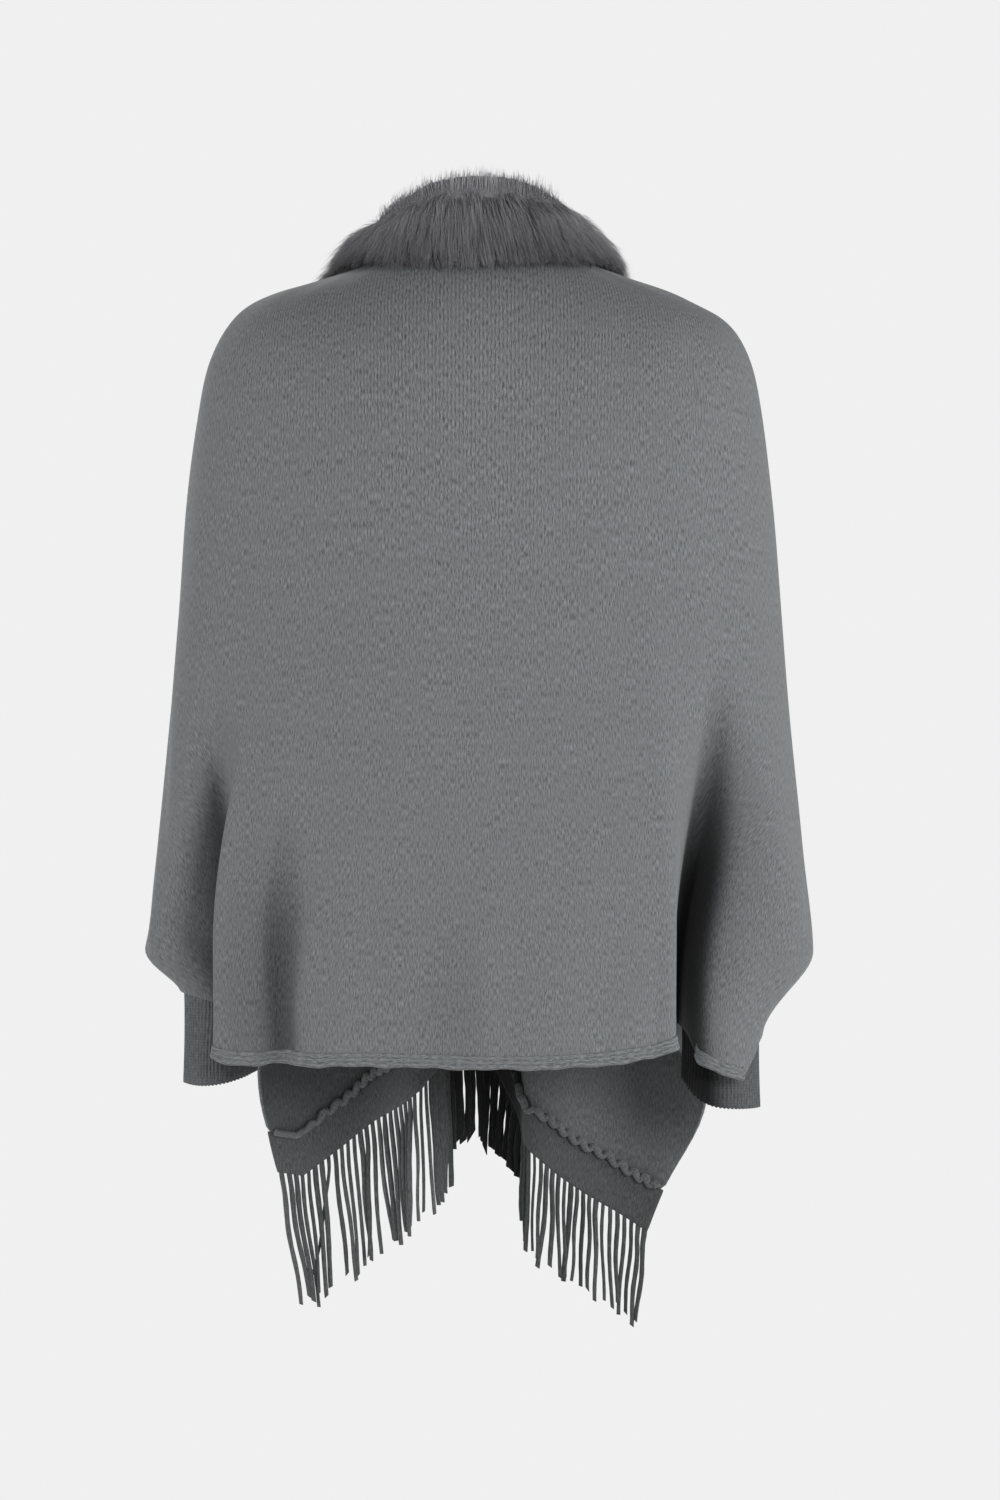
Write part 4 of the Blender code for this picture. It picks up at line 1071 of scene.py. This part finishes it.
def make_fringe(side):
    cut = TRIMS[side]
    random = np.random.default_rng(cut["seed"])
    angles, _ = along_edge(side, STRAND_PITCH)
    middles = (angles[1:] + angles[:-1]) / 2
    count = len(middles)
    points, faces, places, shades = [], [], [], []
    share = np.linspace(0, 1, STRAND_STEPS)
    bend, late_bend = share ** BEND, share ** LATE_BEND
    number = np.arange(count)
    group = np.sin(number * 0.83 + 0.4) + 0.6 * np.sin(number * 0.37 + 2.0)
    behind = past_fold(side, middles)
    nearness = smooth_step((number / count - NEAR_FROM) / (1 - NEAR_FROM))  # 1 at the front's edge
    beside = SMALL_TURN * np.sign(cut["edge"] - cut["outer"])
    hold = np.clip(share * 6, 0, 1)  # a strand leaves the band straight
    for k, angle in enumerate(middles):
        crosses = k == cut["crossing"]
        (root, near), (out, _) = hang(side, np.array([angle, angle + beside]), BAND_HEIGHT - TUCKED)
        across = unit(near - root)
        past = np.clip((angle - cut["crest"]) / (cut["edge"] - cut["crest"]), 0, 1)
        short = cut["short"] + (cut["short_edge"] - cut["short"]) * past
        kept = 1 + (short - 1) * behind[k]
        length = (cut["strand"] * kept + ROOT_HEIGHT) * random.uniform(*LENGTHS)
        width = STRAND_WIDTH * random.uniform(*WIDTHS) * (1 + (CLOSE_WIDER - 1) * behind[k])
        edge_on = math.atan(-across[1] / math.copysign(max(abs(out[1]), 0.01), out[1]))
        twist = random.normal(0, TWIST) * bend + 0.15 * np.sin(share * random.uniform(3, 7))
        twist += FACES_BACK * edge_on * np.clip(share * 5, 0, 1)
        sway = (random.normal(0, SWAY) + GROUP_SWING * group[k] * (1 - behind[k])) * bend
        sway += 0.8 * np.sin(share * random.uniform(4, 10) + k) + CLOSE_SWING * nearness[k] * share
        sway += CLOSE_OFF * nearness[k] ** 3 - CROSSING_SWING * crosses * late_bend
        forth = random.normal(0, FORTH) * late_bend + 0.6 * np.sin(share * random.uniform(4, 9))
        forth += APART * behind[k] * (1 if k % 2 else -1) * np.clip(share * 4, 0, 1)
        forth += CROSSING_BACK * crosses * share
        path = root - out * (CLOTH / 2)
        path = path + np.outer(sway * hold, across) + np.outer(forth * hold, out)
        path[:, 0] -= math.copysign(cut["lean"], root[0]) * length * share * (1 - k / count)
        path[:, 2] = root[2] - length * share
        thin = 1 - 0.10 * share + 0.04 * np.sin(share * 30 + k)
        slant = random.normal(0, SLANT)
        side_way = (np.cos(twist)[:, None] * across + np.sin(twist)[:, None] * out)
        face_way = (np.cos(twist)[:, None] * out - np.sin(twist)[:, None] * across)
        start = len(points)
        for i in range(STRAND_STEPS):
            for s, d in STRAND_SECTION:
                cut_off = (0, 0, slant * s * width * (i == STRAND_STEPS - 1))
                spread = side_way[i] * s * width * thin[i] + face_way[i] * d * SECTION_DEPTH
                points.append(path[i] + spread + cut_off)
                places.append((s * width + k * STRAND_PITCH, BAND_HEIGHT + length * share[i]))
        tint = random.uniform(*TINTS)
        # painted shade: the inner face takes the darker light behind the fold, the outer face the
        # side's
        shades += [tint * float(cut["light"] if d >= OUTER_FACE else trim_light(side, angle))
                   for _, d in STRAND_SECTION] * STRAND_STEPS
        faces += [tuple(start + i for i in face)
                  for face in tube_faces(STRAND_STEPS, len(STRAND_SECTION))]
    piece = make_piece("fringe_%s_strands" % side, points, faces, (knit_trim,), places)
    keep_values(piece, "shade", shades)
    print(piece.name, count, "strands,", triangles(piece), "triangles")
    return outward(piece)


fringes = {side: make_fringe(side) for side in TRIMS}

# %% [markdown]
# ## Fur collar
# Faux fur is a knitted backing with a long pile. The collar is built in two layers. The under-pile
# is a closed skin, a smaller copy of the collar's form with soft ridges where the locks lie, and
# its finish is streaked along the hair. Tens of thousands of fine hairs grow over it. They part a
# little below the crest: outside the parting they fall over the back, and inside it they roll over
# the crest into the neck. Each hair's tip is aimed at a second shell, the collar's full form, so
# that the fur ends in a soft, even dome. Geometry Nodes scatter the hairs and gather them in locks.

# %% The collar's form
COLLAR_COLUMNS = ("in_angle", "in_ring", "out_angle", "out_ring", "height", "right_ring",
                  "right_height", "upright")
LEFT_COLUMNS = ("in_angle", "in_ring", "out_angle", "out_ring", "height", "upright")
RIGHT_COLUMNS = ("in_angle", "in_ring", "out_angle", "right_ring", "right_height", "upright")
COLLAR = (
    (-85.5, 5.60, -80.0, 5.45, 7, 5.45, 7, 0.0),  # end on the chest
    (-83.5, 5.15, -70.0, 5.00, 19, 5.00, 19, 0.0),
    (-81.5, 4.20, -60.0, 4.00, 25, 3.95, 25, 0.0),
    (-77.0, 3.00, -48.0, 2.90, 27, 2.75, 26, 0.05),
    (-69.0, 1.80, -34.0, 2.05, 27, 1.80, 24, 0.15),
    (-58.0, 0.80, -20.0, 1.35, 24, 1.08, 18, 0.35),
    (-42.0, 0.05, -8.0, 0.86, 22, 0.78, 14, 0.60),
    (-14.0, 0.00, 10.0, 0.72, 24, 0.68, 18, 0.85),
    (14.0, 0.00, 33.0, 0.70, 31, 0.68, 29, 1.0),
    (42.0, 0.00, 54.0, 0.72, 45, 0.72, 45, 1.0),
    (66.0, 0.00, 72.0, 0.70, 56, 0.70, 56, 1.0),
    (90.0, 0.00, 90.0, 0.70, 59, 0.70, 59, 1.0),  # nape
)
# place across the collar, from its inner to its outer edge, and height, as shares
PILE_SECTION = (
    (0.00, 0.00), (0.35, 0.00), (0.70, 0.00), (0.94, 0.00), (1.10, 0.08), (1.12, 0.28),
    (0.98, 0.54), (0.74, 0.77), (0.42, 0.94), (0.10, 1.00), (-0.12, 0.90), (-0.22, 0.62),
    (-0.16, 0.28),
)
PARTING, PARTING_ASIDE = (0.50, 0.90), (0.00, 0.96)  # at the nape, and further along the collar
PARTING_OFF, PARTING_FROM, PARTING_TO = -5, 14, 34  # in rows, from the middle of the collar
PARTING_WAVE = 0.5  # how far it wavers, in points round the section
EDGE, CREST = (1.10, 0.08), (0.10, 1.00)
SKIN_MIDDLE, SKIN_SHARE = (0.46, 0.34), 0.84  # the skin is this much of the pile's section
SKIN_LOWEST = 0.015  # and stays this far, as a share of the height, above the knit
COLLAR_SEAM_LIFT, COLLAR_LIFT = 1.1, 2.2  # from the cloth, at the neck seam and further out
COLLAR_OUTWARD = 1.15  # how far the collar stands out of the cloth where it isn't upright
SKIN_ROWS, SKIN_AROUND = 300, 40
LOCK_PITCH, LOCK_RISE = 10.5, 0.01  # millimetres along the collar, and a share of its height
SLOW_LOCKS, SLOW_PITCH = 0.6, 2.7  # wider locks, as shares of the rise and of the pitch


def collar_row(count):
    """The collar's table read at evenly spread rows, from its left end to its right one."""
    half = np.array(COLLAR, float)
    knots = run_along(cloth((half[:, 0] + half[:, 2]) / 2, (half[:, 1] + half[:, 3]) / 2))
    at = np.linspace(0, knots[-1], count // 2 + 1)
    side = np.stack([smooth_read(knots, half[:, i], at) for i in range(half.shape[1])], axis=1)
    left, right = (side[:, [COLLAR_COLUMNS.index(name) for name in names]]
                   for names in (LEFT_COLUMNS, RIGHT_COLUMNS))
    right = right[-2::-1]
    right[:, 0], right[:, 2] = 180 - right[:, 0], 180 - right[:, 2]
    return np.concatenate([left, right])


def even_section(corners, count):
    """A smooth closed curve through the corners, as evenly spread points."""
    corners = np.array(corners)
    long = np.concatenate([corners[-3:], corners, corners[:4]])
    knots = np.arange(len(long), dtype=float) - 3
    fine = np.linspace(0, len(corners), 2000)
    run = run_along(np.stack([smooth_read(knots, long[:, i], fine) for i in (0, 1)], axis=1))
    at = read_evenly(run, fine, count + 1)[:-1]
    return np.stack([smooth_read(knots, long[:, i], at) for i in (0, 1)], axis=1)


def collar_points(section, rows, ridges=0.0):
    """Points of a shell of the collar's form: one loop of the section for each row."""
    inner = cloth(rows[:, 0], rows[:, 1])
    outer = cloth(rows[:, 2], rows[:, 3])
    height, upright = rows[:, 4], rows[:, 5]
    loops = []
    for across, high in section:
        held = min(max(across, 0), 1)
        high = max(high, 0.0)
        angle = rows[:, 0] + held * (rows[:, 2] - rows[:, 0])
        at_ring = rows[:, 1] + held * (rows[:, 3] - rows[:, 1])
        _, _, out = cloth_frame(angle, at_ring)
        lift = unit(out * (COLLAR_OUTWARD - upright)[:, None] + np.outer(upright, (0, 0, 1)))
        clear = COLLAR_SEAM_LIFT + (COLLAR_LIFT - COLLAR_SEAM_LIFT) * min(1, held * 5)
        base = cloth(angle, at_ring) + out * clear + (across - held) * (outer - inner)
        loops.append(base + lift * (height * high * (1 + ridges * min(1, 4 * high)))[:, None])
    return np.stack(loops, axis=1)


collar_rows = collar_row(SKIN_ROWS)
pile_section = even_section(PILE_SECTION, SKIN_AROUND)
pile_points = collar_points(pile_section, collar_rows)
skin_middle = np.array(SKIN_MIDDLE)
skin_section = skin_middle + (pile_section - skin_middle) * SKIN_SHARE
skin_section[:, 1] = np.maximum(skin_section[:, 1], SKIN_LOWEST)
along_collar = run_along(pile_points.mean(axis=1))
lock_wave = np.sin(along_collar * ROUND / LOCK_PITCH + 1.3 * np.sin(along_collar / 31))
lock_wave += SLOW_LOCKS * np.sin(along_collar * ROUND / (SLOW_PITCH * LOCK_PITCH) + 0.8)
skin_points = collar_points(skin_section, collar_rows, LOCK_RISE * lock_wave)
print("collar:", round(along_collar[-1]), "mm long,", skin_points.shape, "points")


# %% Fur: its finish
STREAK, STREAK_RUN = 1.4 * MM, 26 * MM  # how wide a streak of the under-pile is, and how long


def fur_finish(name, root_hex, tip_hex):
    """Acrylic pile: darker at the root, and each hair a little lighter or darker."""
    finish, tree, shader = new_finish(name)
    share, tone, root_light, tip_light = (
        add_node(tree, "ShaderNodeAttribute", attribute_name=value).outputs["Fac"]
        for value in ("share", "tone", "root_light", "tip_light"))
    colour = add_node(tree, "ShaderNodeMix", {
        0: share, 6: linear(root_hex), 7: linear(tip_hex)}, data_type="RGBA")
    level = add_node(tree, "ShaderNodeMapRange", {"Value": tone, "To Min": 0.84, "To Max": 1.16})
    # painted light and shade along the hair, from the root's value to the tip's
    reached = add_node(tree, "ShaderNodeMix", {0: share, 2: root_light, 3: tip_light},
                       data_type="FLOAT")
    lit = add_node(tree, "ShaderNodeMath", {0: level, 1: reached}, operation="MULTIPLY")
    tinted = add_node(tree, "ShaderNodeVectorMath", {0: colour, "Scale": lit}, operation="SCALE")
    set_inputs(shader, {"Base Color": tinted, "Roughness": 0.55, "Specular IOR Level": 0.25,
                        "Sheen Weight": 0.1})
    return finish


def under_pile_finish():
    """The dense short pile under the long hairs: streaks that run the way the hair lies."""
    finish, tree, shader = new_finish("acrylic_under_pile")
    place = add_node(tree, "ShaderNodeUVMap", uv_map="cloth")
    combed = add_node(tree, "ShaderNodeVectorMath", {
        0: place, 1: (1 / STREAK, 1 / STREAK_RUN, 0.0)}, operation="MULTIPLY")
    streak = add_node(tree, "ShaderNodeTexNoise", {
        "Vector": combed, "Scale": 1.0, "Detail": 3.0, "Roughness": 0.6, "Distortion": 0.3})
    tone = add_node(tree, "ShaderNodeMapRange", {"Value": streak, "From Min": 0.3, "From Max": 0.7})
    colour = add_node(tree, "ShaderNodeMix", {
        0: tone, 6: linear("#55555A"), 7: linear("#7A797D")}, data_type="RGBA")
    # painted light and shade, the same as at the hairs' roots
    light = add_node(tree, "ShaderNodeAttribute", attribute_name="root_light").outputs["Fac"]
    lit = add_node(tree, "ShaderNodeVectorMath", {0: colour, "Scale": light}, operation="SCALE")
    bump = add_node(tree, "ShaderNodeBump", {
        "Height": streak, "Strength": 0.6, "Distance": 1.5 * MM})
    set_inputs(shader, {"Base Color": lit, "Normal": bump, "Roughness": 0.8,
                        "Specular IOR Level": 0.2, "Sheen Weight": 0.1})
    return finish


fur_pile = fur_finish("acrylic_fur_pile", "#8A8A8E", "#B3B2B6")
guard_hair = fur_finish("acrylic_fur_guard_hair", "#9C9CA0", "#C6C5C9")
under_pile = under_pile_finish()
print("finishes:", ", ".join(m.name for m in (fur_pile, guard_hair, under_pile)))

# %% [markdown]
# ### One hair, and the tree that grows the pile
# A hair is a thin three-sided spike in two or three steps, bent a little so that it arches. It
# points up its own Z axis and is one unit long, so that the tree can stretch it to any length. The
# skin carries values for the tree: the way from a hair's root to its tip, how thickly the hairs
# grow, how closely they gather in locks, and how much light reaches a hair's root and its tip.

# %% One hair
HAIR_DEPTH = 0.011  # how deep its root is, as a share of its length: deeper hairs show as blades
HAIR_ARCH = 0.14  # how far the middle bends out, as a share of the length
HAIR_TAPER = 0.6  # the power with which it narrows to its tip


def make_hair(name, steps):
    """A spike with so many steps and then a point, as wide as it is long until it is scaled."""
    points = []
    for k in range(steps):
        share = k / steps
        radius = 0.5 * (1 - share) ** HAIR_TAPER
        arch = HAIR_ARCH * math.sin(math.pi * share)
        for corner in range(3):
            turn = ROUND * corner / 3 + math.pi / 2
            depth = HAIR_DEPTH * math.sin(turn) * (1 - share)
            points.append((radius * math.cos(turn), depth + arch, share))
    points.append((0, 0, 1))
    last = 3 * (steps - 1)
    faces = tube_faces(steps, 3)[:-2]
    faces += [(last + i, last + (i + 1) % 3, last + 3) for i in range(3)]
    faces.append((2, 1, 0))
    mesh = bpy.data.meshes.new(name)
    mesh.from_pydata(points, [], faces)
    mesh.shade_smooth()
    hair = new_object(name, mesh)
    keep_values(hair, "share", [p[2] for p in points])
    return hair


hairs = {"fur": make_hair("pile_hair", 3), "loose_hair": make_hair("long_hair", 2)}
print("one hair has", {name: triangles(hair) for name, hair in hairs.items()}, "triangles")

# %% The tree
PILE_INPUTS = {
    "Geometry": "Geometry", "Hairs per square metre": "Float", "Locks per square metre": "Float",
    "Hair width": "Float", "Length": "Float", "Gather": "Float", "Stray": "Float", "Lift": "Float",
    "Seed": "Int", "Hair": "Object", "Finish": "Material",
}
PILE_CHANCE = {  # whether it is drawn for a lock or a hair, the least and the most, and the seed
    "lock length": ("lock", 0.82, 1.08, 3),
    "hair length": ("hair", 0.62, 1.10, 4),
    "lock stray": ("lock", (-1, -1, -1), (1, 1, 1), 5),
    "hair stray": ("hair", (-0.6, -0.6, -0.6), (0.6, 0.6, 0.6), 6),
    "width": ("hair", 0.6, 1.3, 8),
    "lock tone": ("lock", 0.3, 0.72, 9),
    "hair tone": ("hair", 0.0, 1.0, 10),
}
LOCK_SEED, HAIR_SHARE = 7, 0.45  # the share of a hair's tone that is its own, not its lock's


def pile_tree():
    """Scatters hairs over a skin, lays them as it says, and gathers them in locks."""
    tree = bpy.data.node_groups.new("fur_pile", "GeometryNodeTree")
    for name, kind in PILE_INPUTS.items():
        tree.interface.new_socket(name, in_out="INPUT", socket_type="NodeSocket" + kind)
    tree.interface.new_socket("Geometry", in_out="OUTPUT", socket_type="NodeSocketGeometry")
    given = tree.nodes.new("NodeGroupInput").outputs
    cover, bunch, lay = (
        add_node(tree, "GeometryNodeInputNamedAttribute", {"Name": value}, data_type=kind)
        for value, kind in (("cover", "FLOAT"), ("bunch", "FLOAT"), ("lay", "FLOAT_VECTOR")))
    thick = add_node(tree, "ShaderNodeMath", {0: cover, 1: given["Hairs per square metre"]},
                     operation="MULTIPLY")
    scatter = add_node(tree, "GeometryNodeDistributePointsOnFaces", {
        "Mesh": given["Geometry"], "Density": thick, "Seed": given["Seed"]})
    locks = add_node(tree, "GeometryNodeDistributePointsOnFaces", {
        "Mesh": given["Geometry"], "Density": given["Locks per square metre"], "Seed": LOCK_SEED})
    here = add_node(tree, "GeometryNodeInputPosition")
    nearest = add_node(tree, "GeometryNodeSampleNearest", {
        "Geometry": locks, "Sample Position": here}, domain="POINT")
    chance = {}
    for what, (drawn_for, least, most, seed) in PILE_CHANCE.items():
        kind, socket = ("FLOAT_VECTOR", 0) if isinstance(least, tuple) else ("FLOAT", 2)
        chance[what] = add_node(tree, "FunctionNodeRandomValue", {
            socket: least, socket + 1: most, "Seed": seed}, data_type=kind)
        if drawn_for == "lock":
            set_inputs(chance[what], {"ID": nearest})
    centre = add_node(tree, "GeometryNodeSampleIndex", {
        "Geometry": locks, "Value": here, "Index": nearest}, data_type="FLOAT_VECTOR")
    to_centre = add_node(tree, "ShaderNodeVectorMath", {0: centre, 1: here}, operation="SUBTRACT")
    drawn = add_node(tree, "ShaderNodeMath", {0: bunch, 1: given["Gather"]}, operation="MULTIPLY")
    pull = add_node(tree, "ShaderNodeVectorMath", {0: to_centre, "Scale": drawn}, operation="SCALE")
    length = add_node(tree, "ShaderNodeMath", {0: chance["lock length"], 1: chance["hair length"]},
                      operation="MULTIPLY")
    stretched = add_node(tree, "ShaderNodeMath", {0: length, 1: given["Length"]},
                         operation="MULTIPLY")
    lying = add_node(tree, "ShaderNodeVectorMath", {0: lay, "Scale": stretched}, operation="SCALE")
    gathered = add_node(tree, "ShaderNodeVectorMath", {0: lying, 1: pull}, operation="ADD")
    stray_sum = add_node(tree, "ShaderNodeVectorMath", {
        0: chance["lock stray"], 1: chance["hair stray"]}, operation="ADD")
    stray = add_node(tree, "ShaderNodeVectorMath", {0: stray_sum, "Scale": given["Stray"]},
                     operation="SCALE")
    raised = add_node(tree, "ShaderNodeVectorMath", {
        0: scatter.outputs["Normal"], "Scale": given["Lift"]}, operation="SCALE")
    loosened = add_node(tree, "ShaderNodeVectorMath", {0: stray, 1: raised}, operation="ADD")
    reach = add_node(tree, "ShaderNodeVectorMath", {0: gathered, 1: loosened}, operation="ADD")
    size = add_node(tree, "ShaderNodeVectorMath", {0: reach}, operation="LENGTH")
    turn = add_node(tree, "FunctionNodeAxesToRotation", {0: reach, 1: scatter.outputs["Normal"]},
                    primary_axis="Z", secondary_axis="Y")
    wide = add_node(tree, "ShaderNodeMath", {0: chance["width"], 1: given["Hair width"]},
                    operation="MULTIPLY")
    scale = add_node(tree, "ShaderNodeCombineXYZ", {0: wide, 1: size, 2: size})
    tone = add_node(tree, "ShaderNodeMix", {
        0: HAIR_SHARE, 2: chance["lock tone"], 3: chance["hair tone"]}, data_type="FLOAT")
    toned = add_node(tree, "GeometryNodeStoreNamedAttribute", {
        "Geometry": scatter, "Name": "tone", "Value": tone}, data_type="FLOAT", domain="POINT")
    one = add_node(tree, "GeometryNodeObjectInfo", {"Object": given["Hair"], "As Instance": False})
    planted = add_node(tree, "GeometryNodeInstanceOnPoints", {
        "Points": toned, "Instance": one.outputs["Geometry"], "Rotation": turn, "Scale": scale})
    real = add_node(tree, "GeometryNodeRealizeInstances", {"Geometry": planted})
    dressed = add_node(tree, "GeometryNodeSetMaterial", {
        "Geometry": real, "Material": given["Finish"]})
    add_node(tree, "NodeGroupOutput", {0: dressed})
    return tree


def grown(guide, tree, values, name):
    """The result of a Geometry Nodes tree on a guide object, as a plain mesh piece."""
    modifier = guide.modifiers.new("grow", "NODES")
    modifier.node_group = tree
    sockets = {s.name: s.identifier for s in tree.interface.items_tree if s.in_out == "INPUT"}
    for key, value in values.items():
        modifier[sockets[key]] = value
    bpy.context.view_layer.update()
    shape = guide.evaluated_get(bpy.context.evaluated_depsgraph_get())
    mesh = bpy.data.meshes.new_from_object(shape)
    mesh.name = name
    guide.modifiers.remove(modifier)
    return new_object(name, mesh)


pile = pile_tree()
print("pile tree:", len(pile.nodes), "nodes")

# %% [markdown]
# ### How the pile lies
# The full form and the skin have the same number of points round each section, so a place on one
# is a place on the other. A hair rooted at one point of the skin aims at the point of the full
# form that is a hair's length further from the parting. The parting shows at the nape only: to both
# sides it runs behind the crest, and the hairs fan out. None grow on the underside, which lies on
# the knit. The pile's colour carries painted shade, most at its lower edge and where it turns over
# the shoulders, and painted light at its crest and at the nape.

# %% Lay of the hairs over the skin
HAIR_REACH, INNER_REACH = 0.66, 0.40  # hairs' reach outside and inside the parting, as shares
INNER_COVER, INNER_BUNCH = 0.8, 0.35  # how thick and how gathered the inner hairs are, as shares
FAN, FAN_MOST = 0.30, 8.0  # rows of sideways lean for each row from the middle, and the most rows
DROOP = 4.0  # millimetres that the tips hang below the outer edge
# painted shade at the pile's lower edge and painted light at its crest, as shares
EDGE_LIGHT, CREST_LIGHT = 0.52, 1.25
FULL_LIGHT = 0.5  # how far up from the edge to the crest, as a share, it is no longer shaded
NAPE_LIGHT, NAPE_ROWS = 0.24, 9.0  # painted light: hairs at the nape are coloured lighter, over so many rows
CORNER_SHADE = {"left": 0.36, "right": 0.33}  # painted shade where the collar turns over each shoulder
CORNER_ROW, CORNER_ROWS = 34.0, 20.0


def nearest_point(section, place):
    return int(np.argmin(np.linalg.norm(section - np.array(place), axis=1)))


def read_shell(points, row, around):
    """Points read between the rows, and between the points of each row, of a shell."""
    low = np.clip(np.floor(row).astype(int), 0, len(points) - 2)
    left = np.floor(around).astype(int)
    right = (left + 1) % points.shape[1]
    down, aside = (row - low)[:, None], (around - left)[:, None]
    near = points[low, left] * (1 - aside) + points[low, right] * aside
    far = points[low + 1, left] * (1 - aside) + points[low + 1, right] * aside
    return near * (1 - down) + far * down


def pile_light(around, edge, crest):
    """How much light reaches a place on the pile, by its place round the section."""
    up = (around - edge) / (crest - edge)
    below = (1 - EDGE_LIGHT) * smooth_step(up / FULL_LIGHT)
    return EDGE_LIGHT + below + (CREST_LIGHT - 1) * smooth_step(up - FULL_LIGHT)


def lay_of_pile():
    """The values of each point of the skin. lay is the vector, in metres, from a hair's root to its
    tip, cover says how thickly the hairs grow, bunch how closely they gather, and root_light and
    tip_light how much light reaches them."""
    step = np.linalg.norm(np.diff(pile_section, axis=0), axis=1).mean()
    edge, at_nape, aside, crest = (nearest_point(pile_section, place)
                                   for place in (EDGE, PARTING, PARTING_ASIDE, CREST))
    row = np.arange(SKIN_ROWS + 1, dtype=float)
    from_middle = row - SKIN_ROWS / 2 - PARTING_OFF
    runs = smooth_step((np.abs(from_middle) - PARTING_FROM) / (PARTING_TO - PARTING_FROM))
    parting = at_nape + (aside - at_nape) * runs + PARTING_WAVE * np.sin(row * 0.9)
    lean = np.clip(from_middle * FAN, -FAN_MOST, FAN_MOST)
    corner = np.where(from_middle < 0, CORNER_SHADE["left"], CORNER_SHADE["right"])
    # painted light at the nape, and painted shade where the collar turns over the shoulders
    along = 1 + NAPE_LIGHT * np.exp(-((row - SKIN_ROWS / 2) / NAPE_ROWS) ** 2)
    along -= corner * np.exp(-((np.abs(from_middle) - CORNER_ROW) / CORNER_ROWS) ** 2)
    lay = np.zeros_like(skin_points)
    cover, bunch, root_light, tip_light = (
        np.full(skin_points.shape[:2], value) for value in (0.0, 0.0, 1.0, 1.0))
    for i in range(SKIN_AROUND):
        root_light[:, i] = pile_light(i, edge, crest) * along
        if i < edge - 1:
            continue
        outside = i < parting
        reach = np.where(outside, HAIR_REACH, INNER_REACH) / step
        aim = np.where(outside, np.maximum(i - reach, edge),
                       np.minimum(i + reach, SKIN_AROUND - 0.01))
        sideways = row + lean * outside * np.clip((i - aim) / reach, 0, 1)
        tips = read_shell(pile_points, np.clip(sideways, 0, SKIN_ROWS), aim)
        tips[:, 2] -= DROOP * outside * np.clip(1 - (i - edge) / reach, 0, 1) * collar_rows[:, 5]
        lay[:, i] = (tips - skin_points[:, i]) * MM
        cover[:, i] = np.where(outside, 1.0, INNER_COVER)
        bunch[:, i] = np.where(outside, 1.0, INNER_BUNCH)
        tip_light[:, i] = pile_light(aim, edge, crest) * along
    return {"lay": lay, "cover": cover, "bunch": bunch, "root_light": root_light,
            "tip_light": tip_light}


SKIN_RADIUS = 40.0  # millimetres, from which the streaks take their length round the section

pile_values = lay_of_pile()
around = np.linspace(0, ROUND * SKIN_RADIUS, SKIN_AROUND)
skin_places = np.stack(np.broadcast_arrays(along_collar[:, None], around[None, :]), axis=-1)
skin = outward(make_piece("collar_under_pile", skin_points,
                          tube_faces(len(collar_rows), SKIN_AROUND), (under_pile,), skin_places))
keep_values(skin, "root_light", pile_values["root_light"].ravel())
print("under-pile:", triangles(skin), "triangles")


# %% Grow the pile, a stretch of the collar at a time
FUR_PARTS = 5
COATS = {  # dense pile in locks, and a thin, loose coat of finer hairs that softens its outline
    "fur": {"Hairs per square metre": 285000.0, "Locks per square metre": 10000.0,
            "Hair width": 0.6 * MM, "Length": 1.0, "Gather": 0.45, "Stray": 0.9 * MM,
            "Lift": 0.5 * MM, "Finish": fur_pile},
    "loose_hair": {"Hairs per square metre": 255000.0, "Locks per square metre": 30000.0,
                   "Hair width": 0.24 * MM, "Length": 0.92, "Gather": 0.05, "Stray": 3.4 * MM,
                   "Lift": 4.6 * MM, "Finish": guard_hair},
}


def grow_fur(coat, part):
    """The hairs of one coat on one stretch of the collar."""
    edges = np.linspace(0, SKIN_ROWS, FUR_PARTS + 1).astype(int)
    first, last = edges[part], edges[part + 1]
    stretch = slice(first, last + 1)
    name = "collar_%s_%d" % (coat, part + 1)
    guide = make_piece(name + "_guide", skin_points[stretch],
                       tube_faces(last - first + 1, SKIN_AROUND)[:-2], ())
    layer = guide.data.attributes.new("lay", "FLOAT_VECTOR", "POINT")
    layer.data.foreach_set("vector", pile_values["lay"][stretch].astype(np.float32).ravel())
    for value in ("cover", "bunch", "root_light", "tip_light"):
        keep_values(guide, value, pile_values[value][stretch].ravel())
    middle = skin_points[first].mean(axis=0) * MM
    sides = sum(f.normal.dot(f.center - Vector(middle)) for f in guide.data.polygons[:SKIN_AROUND])
    if sides < 0:
        guide.data.flip_normals()
    values = {"Seed": 11 + part + FUR_PARTS * list(COATS).index(coat), "Hair": hairs[coat]}
    fur = grown(guide, pile, {**COATS[coat], **values}, name)
    bpy.data.meshes.remove(guide.data)
    print(name, triangles(fur), "triangles")
    return fur


furs = [grow_fur(coat, part) for coat in COATS for part in range(FUR_PARTS)]
for hair in hairs.values():
    bpy.data.objects.remove(hair)

# %% [markdown]
# ## Who carries what
# Every piece rides on the garment's one body and stands for the construction piece that it
# covers.

# %% Ride and replace
BODY = sorted(frame["bodies"])[0]


def dress(piece, slot, *nodes):
    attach(piece, BODY)
    if nodes:
        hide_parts(*nodes)


dress(back, "knit", "back_panel")
dress(front_left, "knit", "front_left")
dress(front_right, "knit", "front_right")
dress(back_hem, "knit", "back_hem")
dress(sleeve_hem, "knit", "sleeve_hem")
dress(cuff_left, "rib", "cuff_left")
dress(cuff_right, "rib", "cuff_right")
for side in TRIMS:
    dress(bands[side], "fringe_knit", "band_" + side)
    dress(braids[side], "fringe_knit", "braid_" + side)
    dress(fringes[side], "fringe_knit", "fringe_" + side)
dress(skin, "fur", "collar")
for fur in furs:
    dress(fur, "fur")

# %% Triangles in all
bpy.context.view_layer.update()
total = sum(triangles(o) for o in bpy.data.objects if o.type == "MESH" and not o.hide_render)
print("triangles in all:", total)
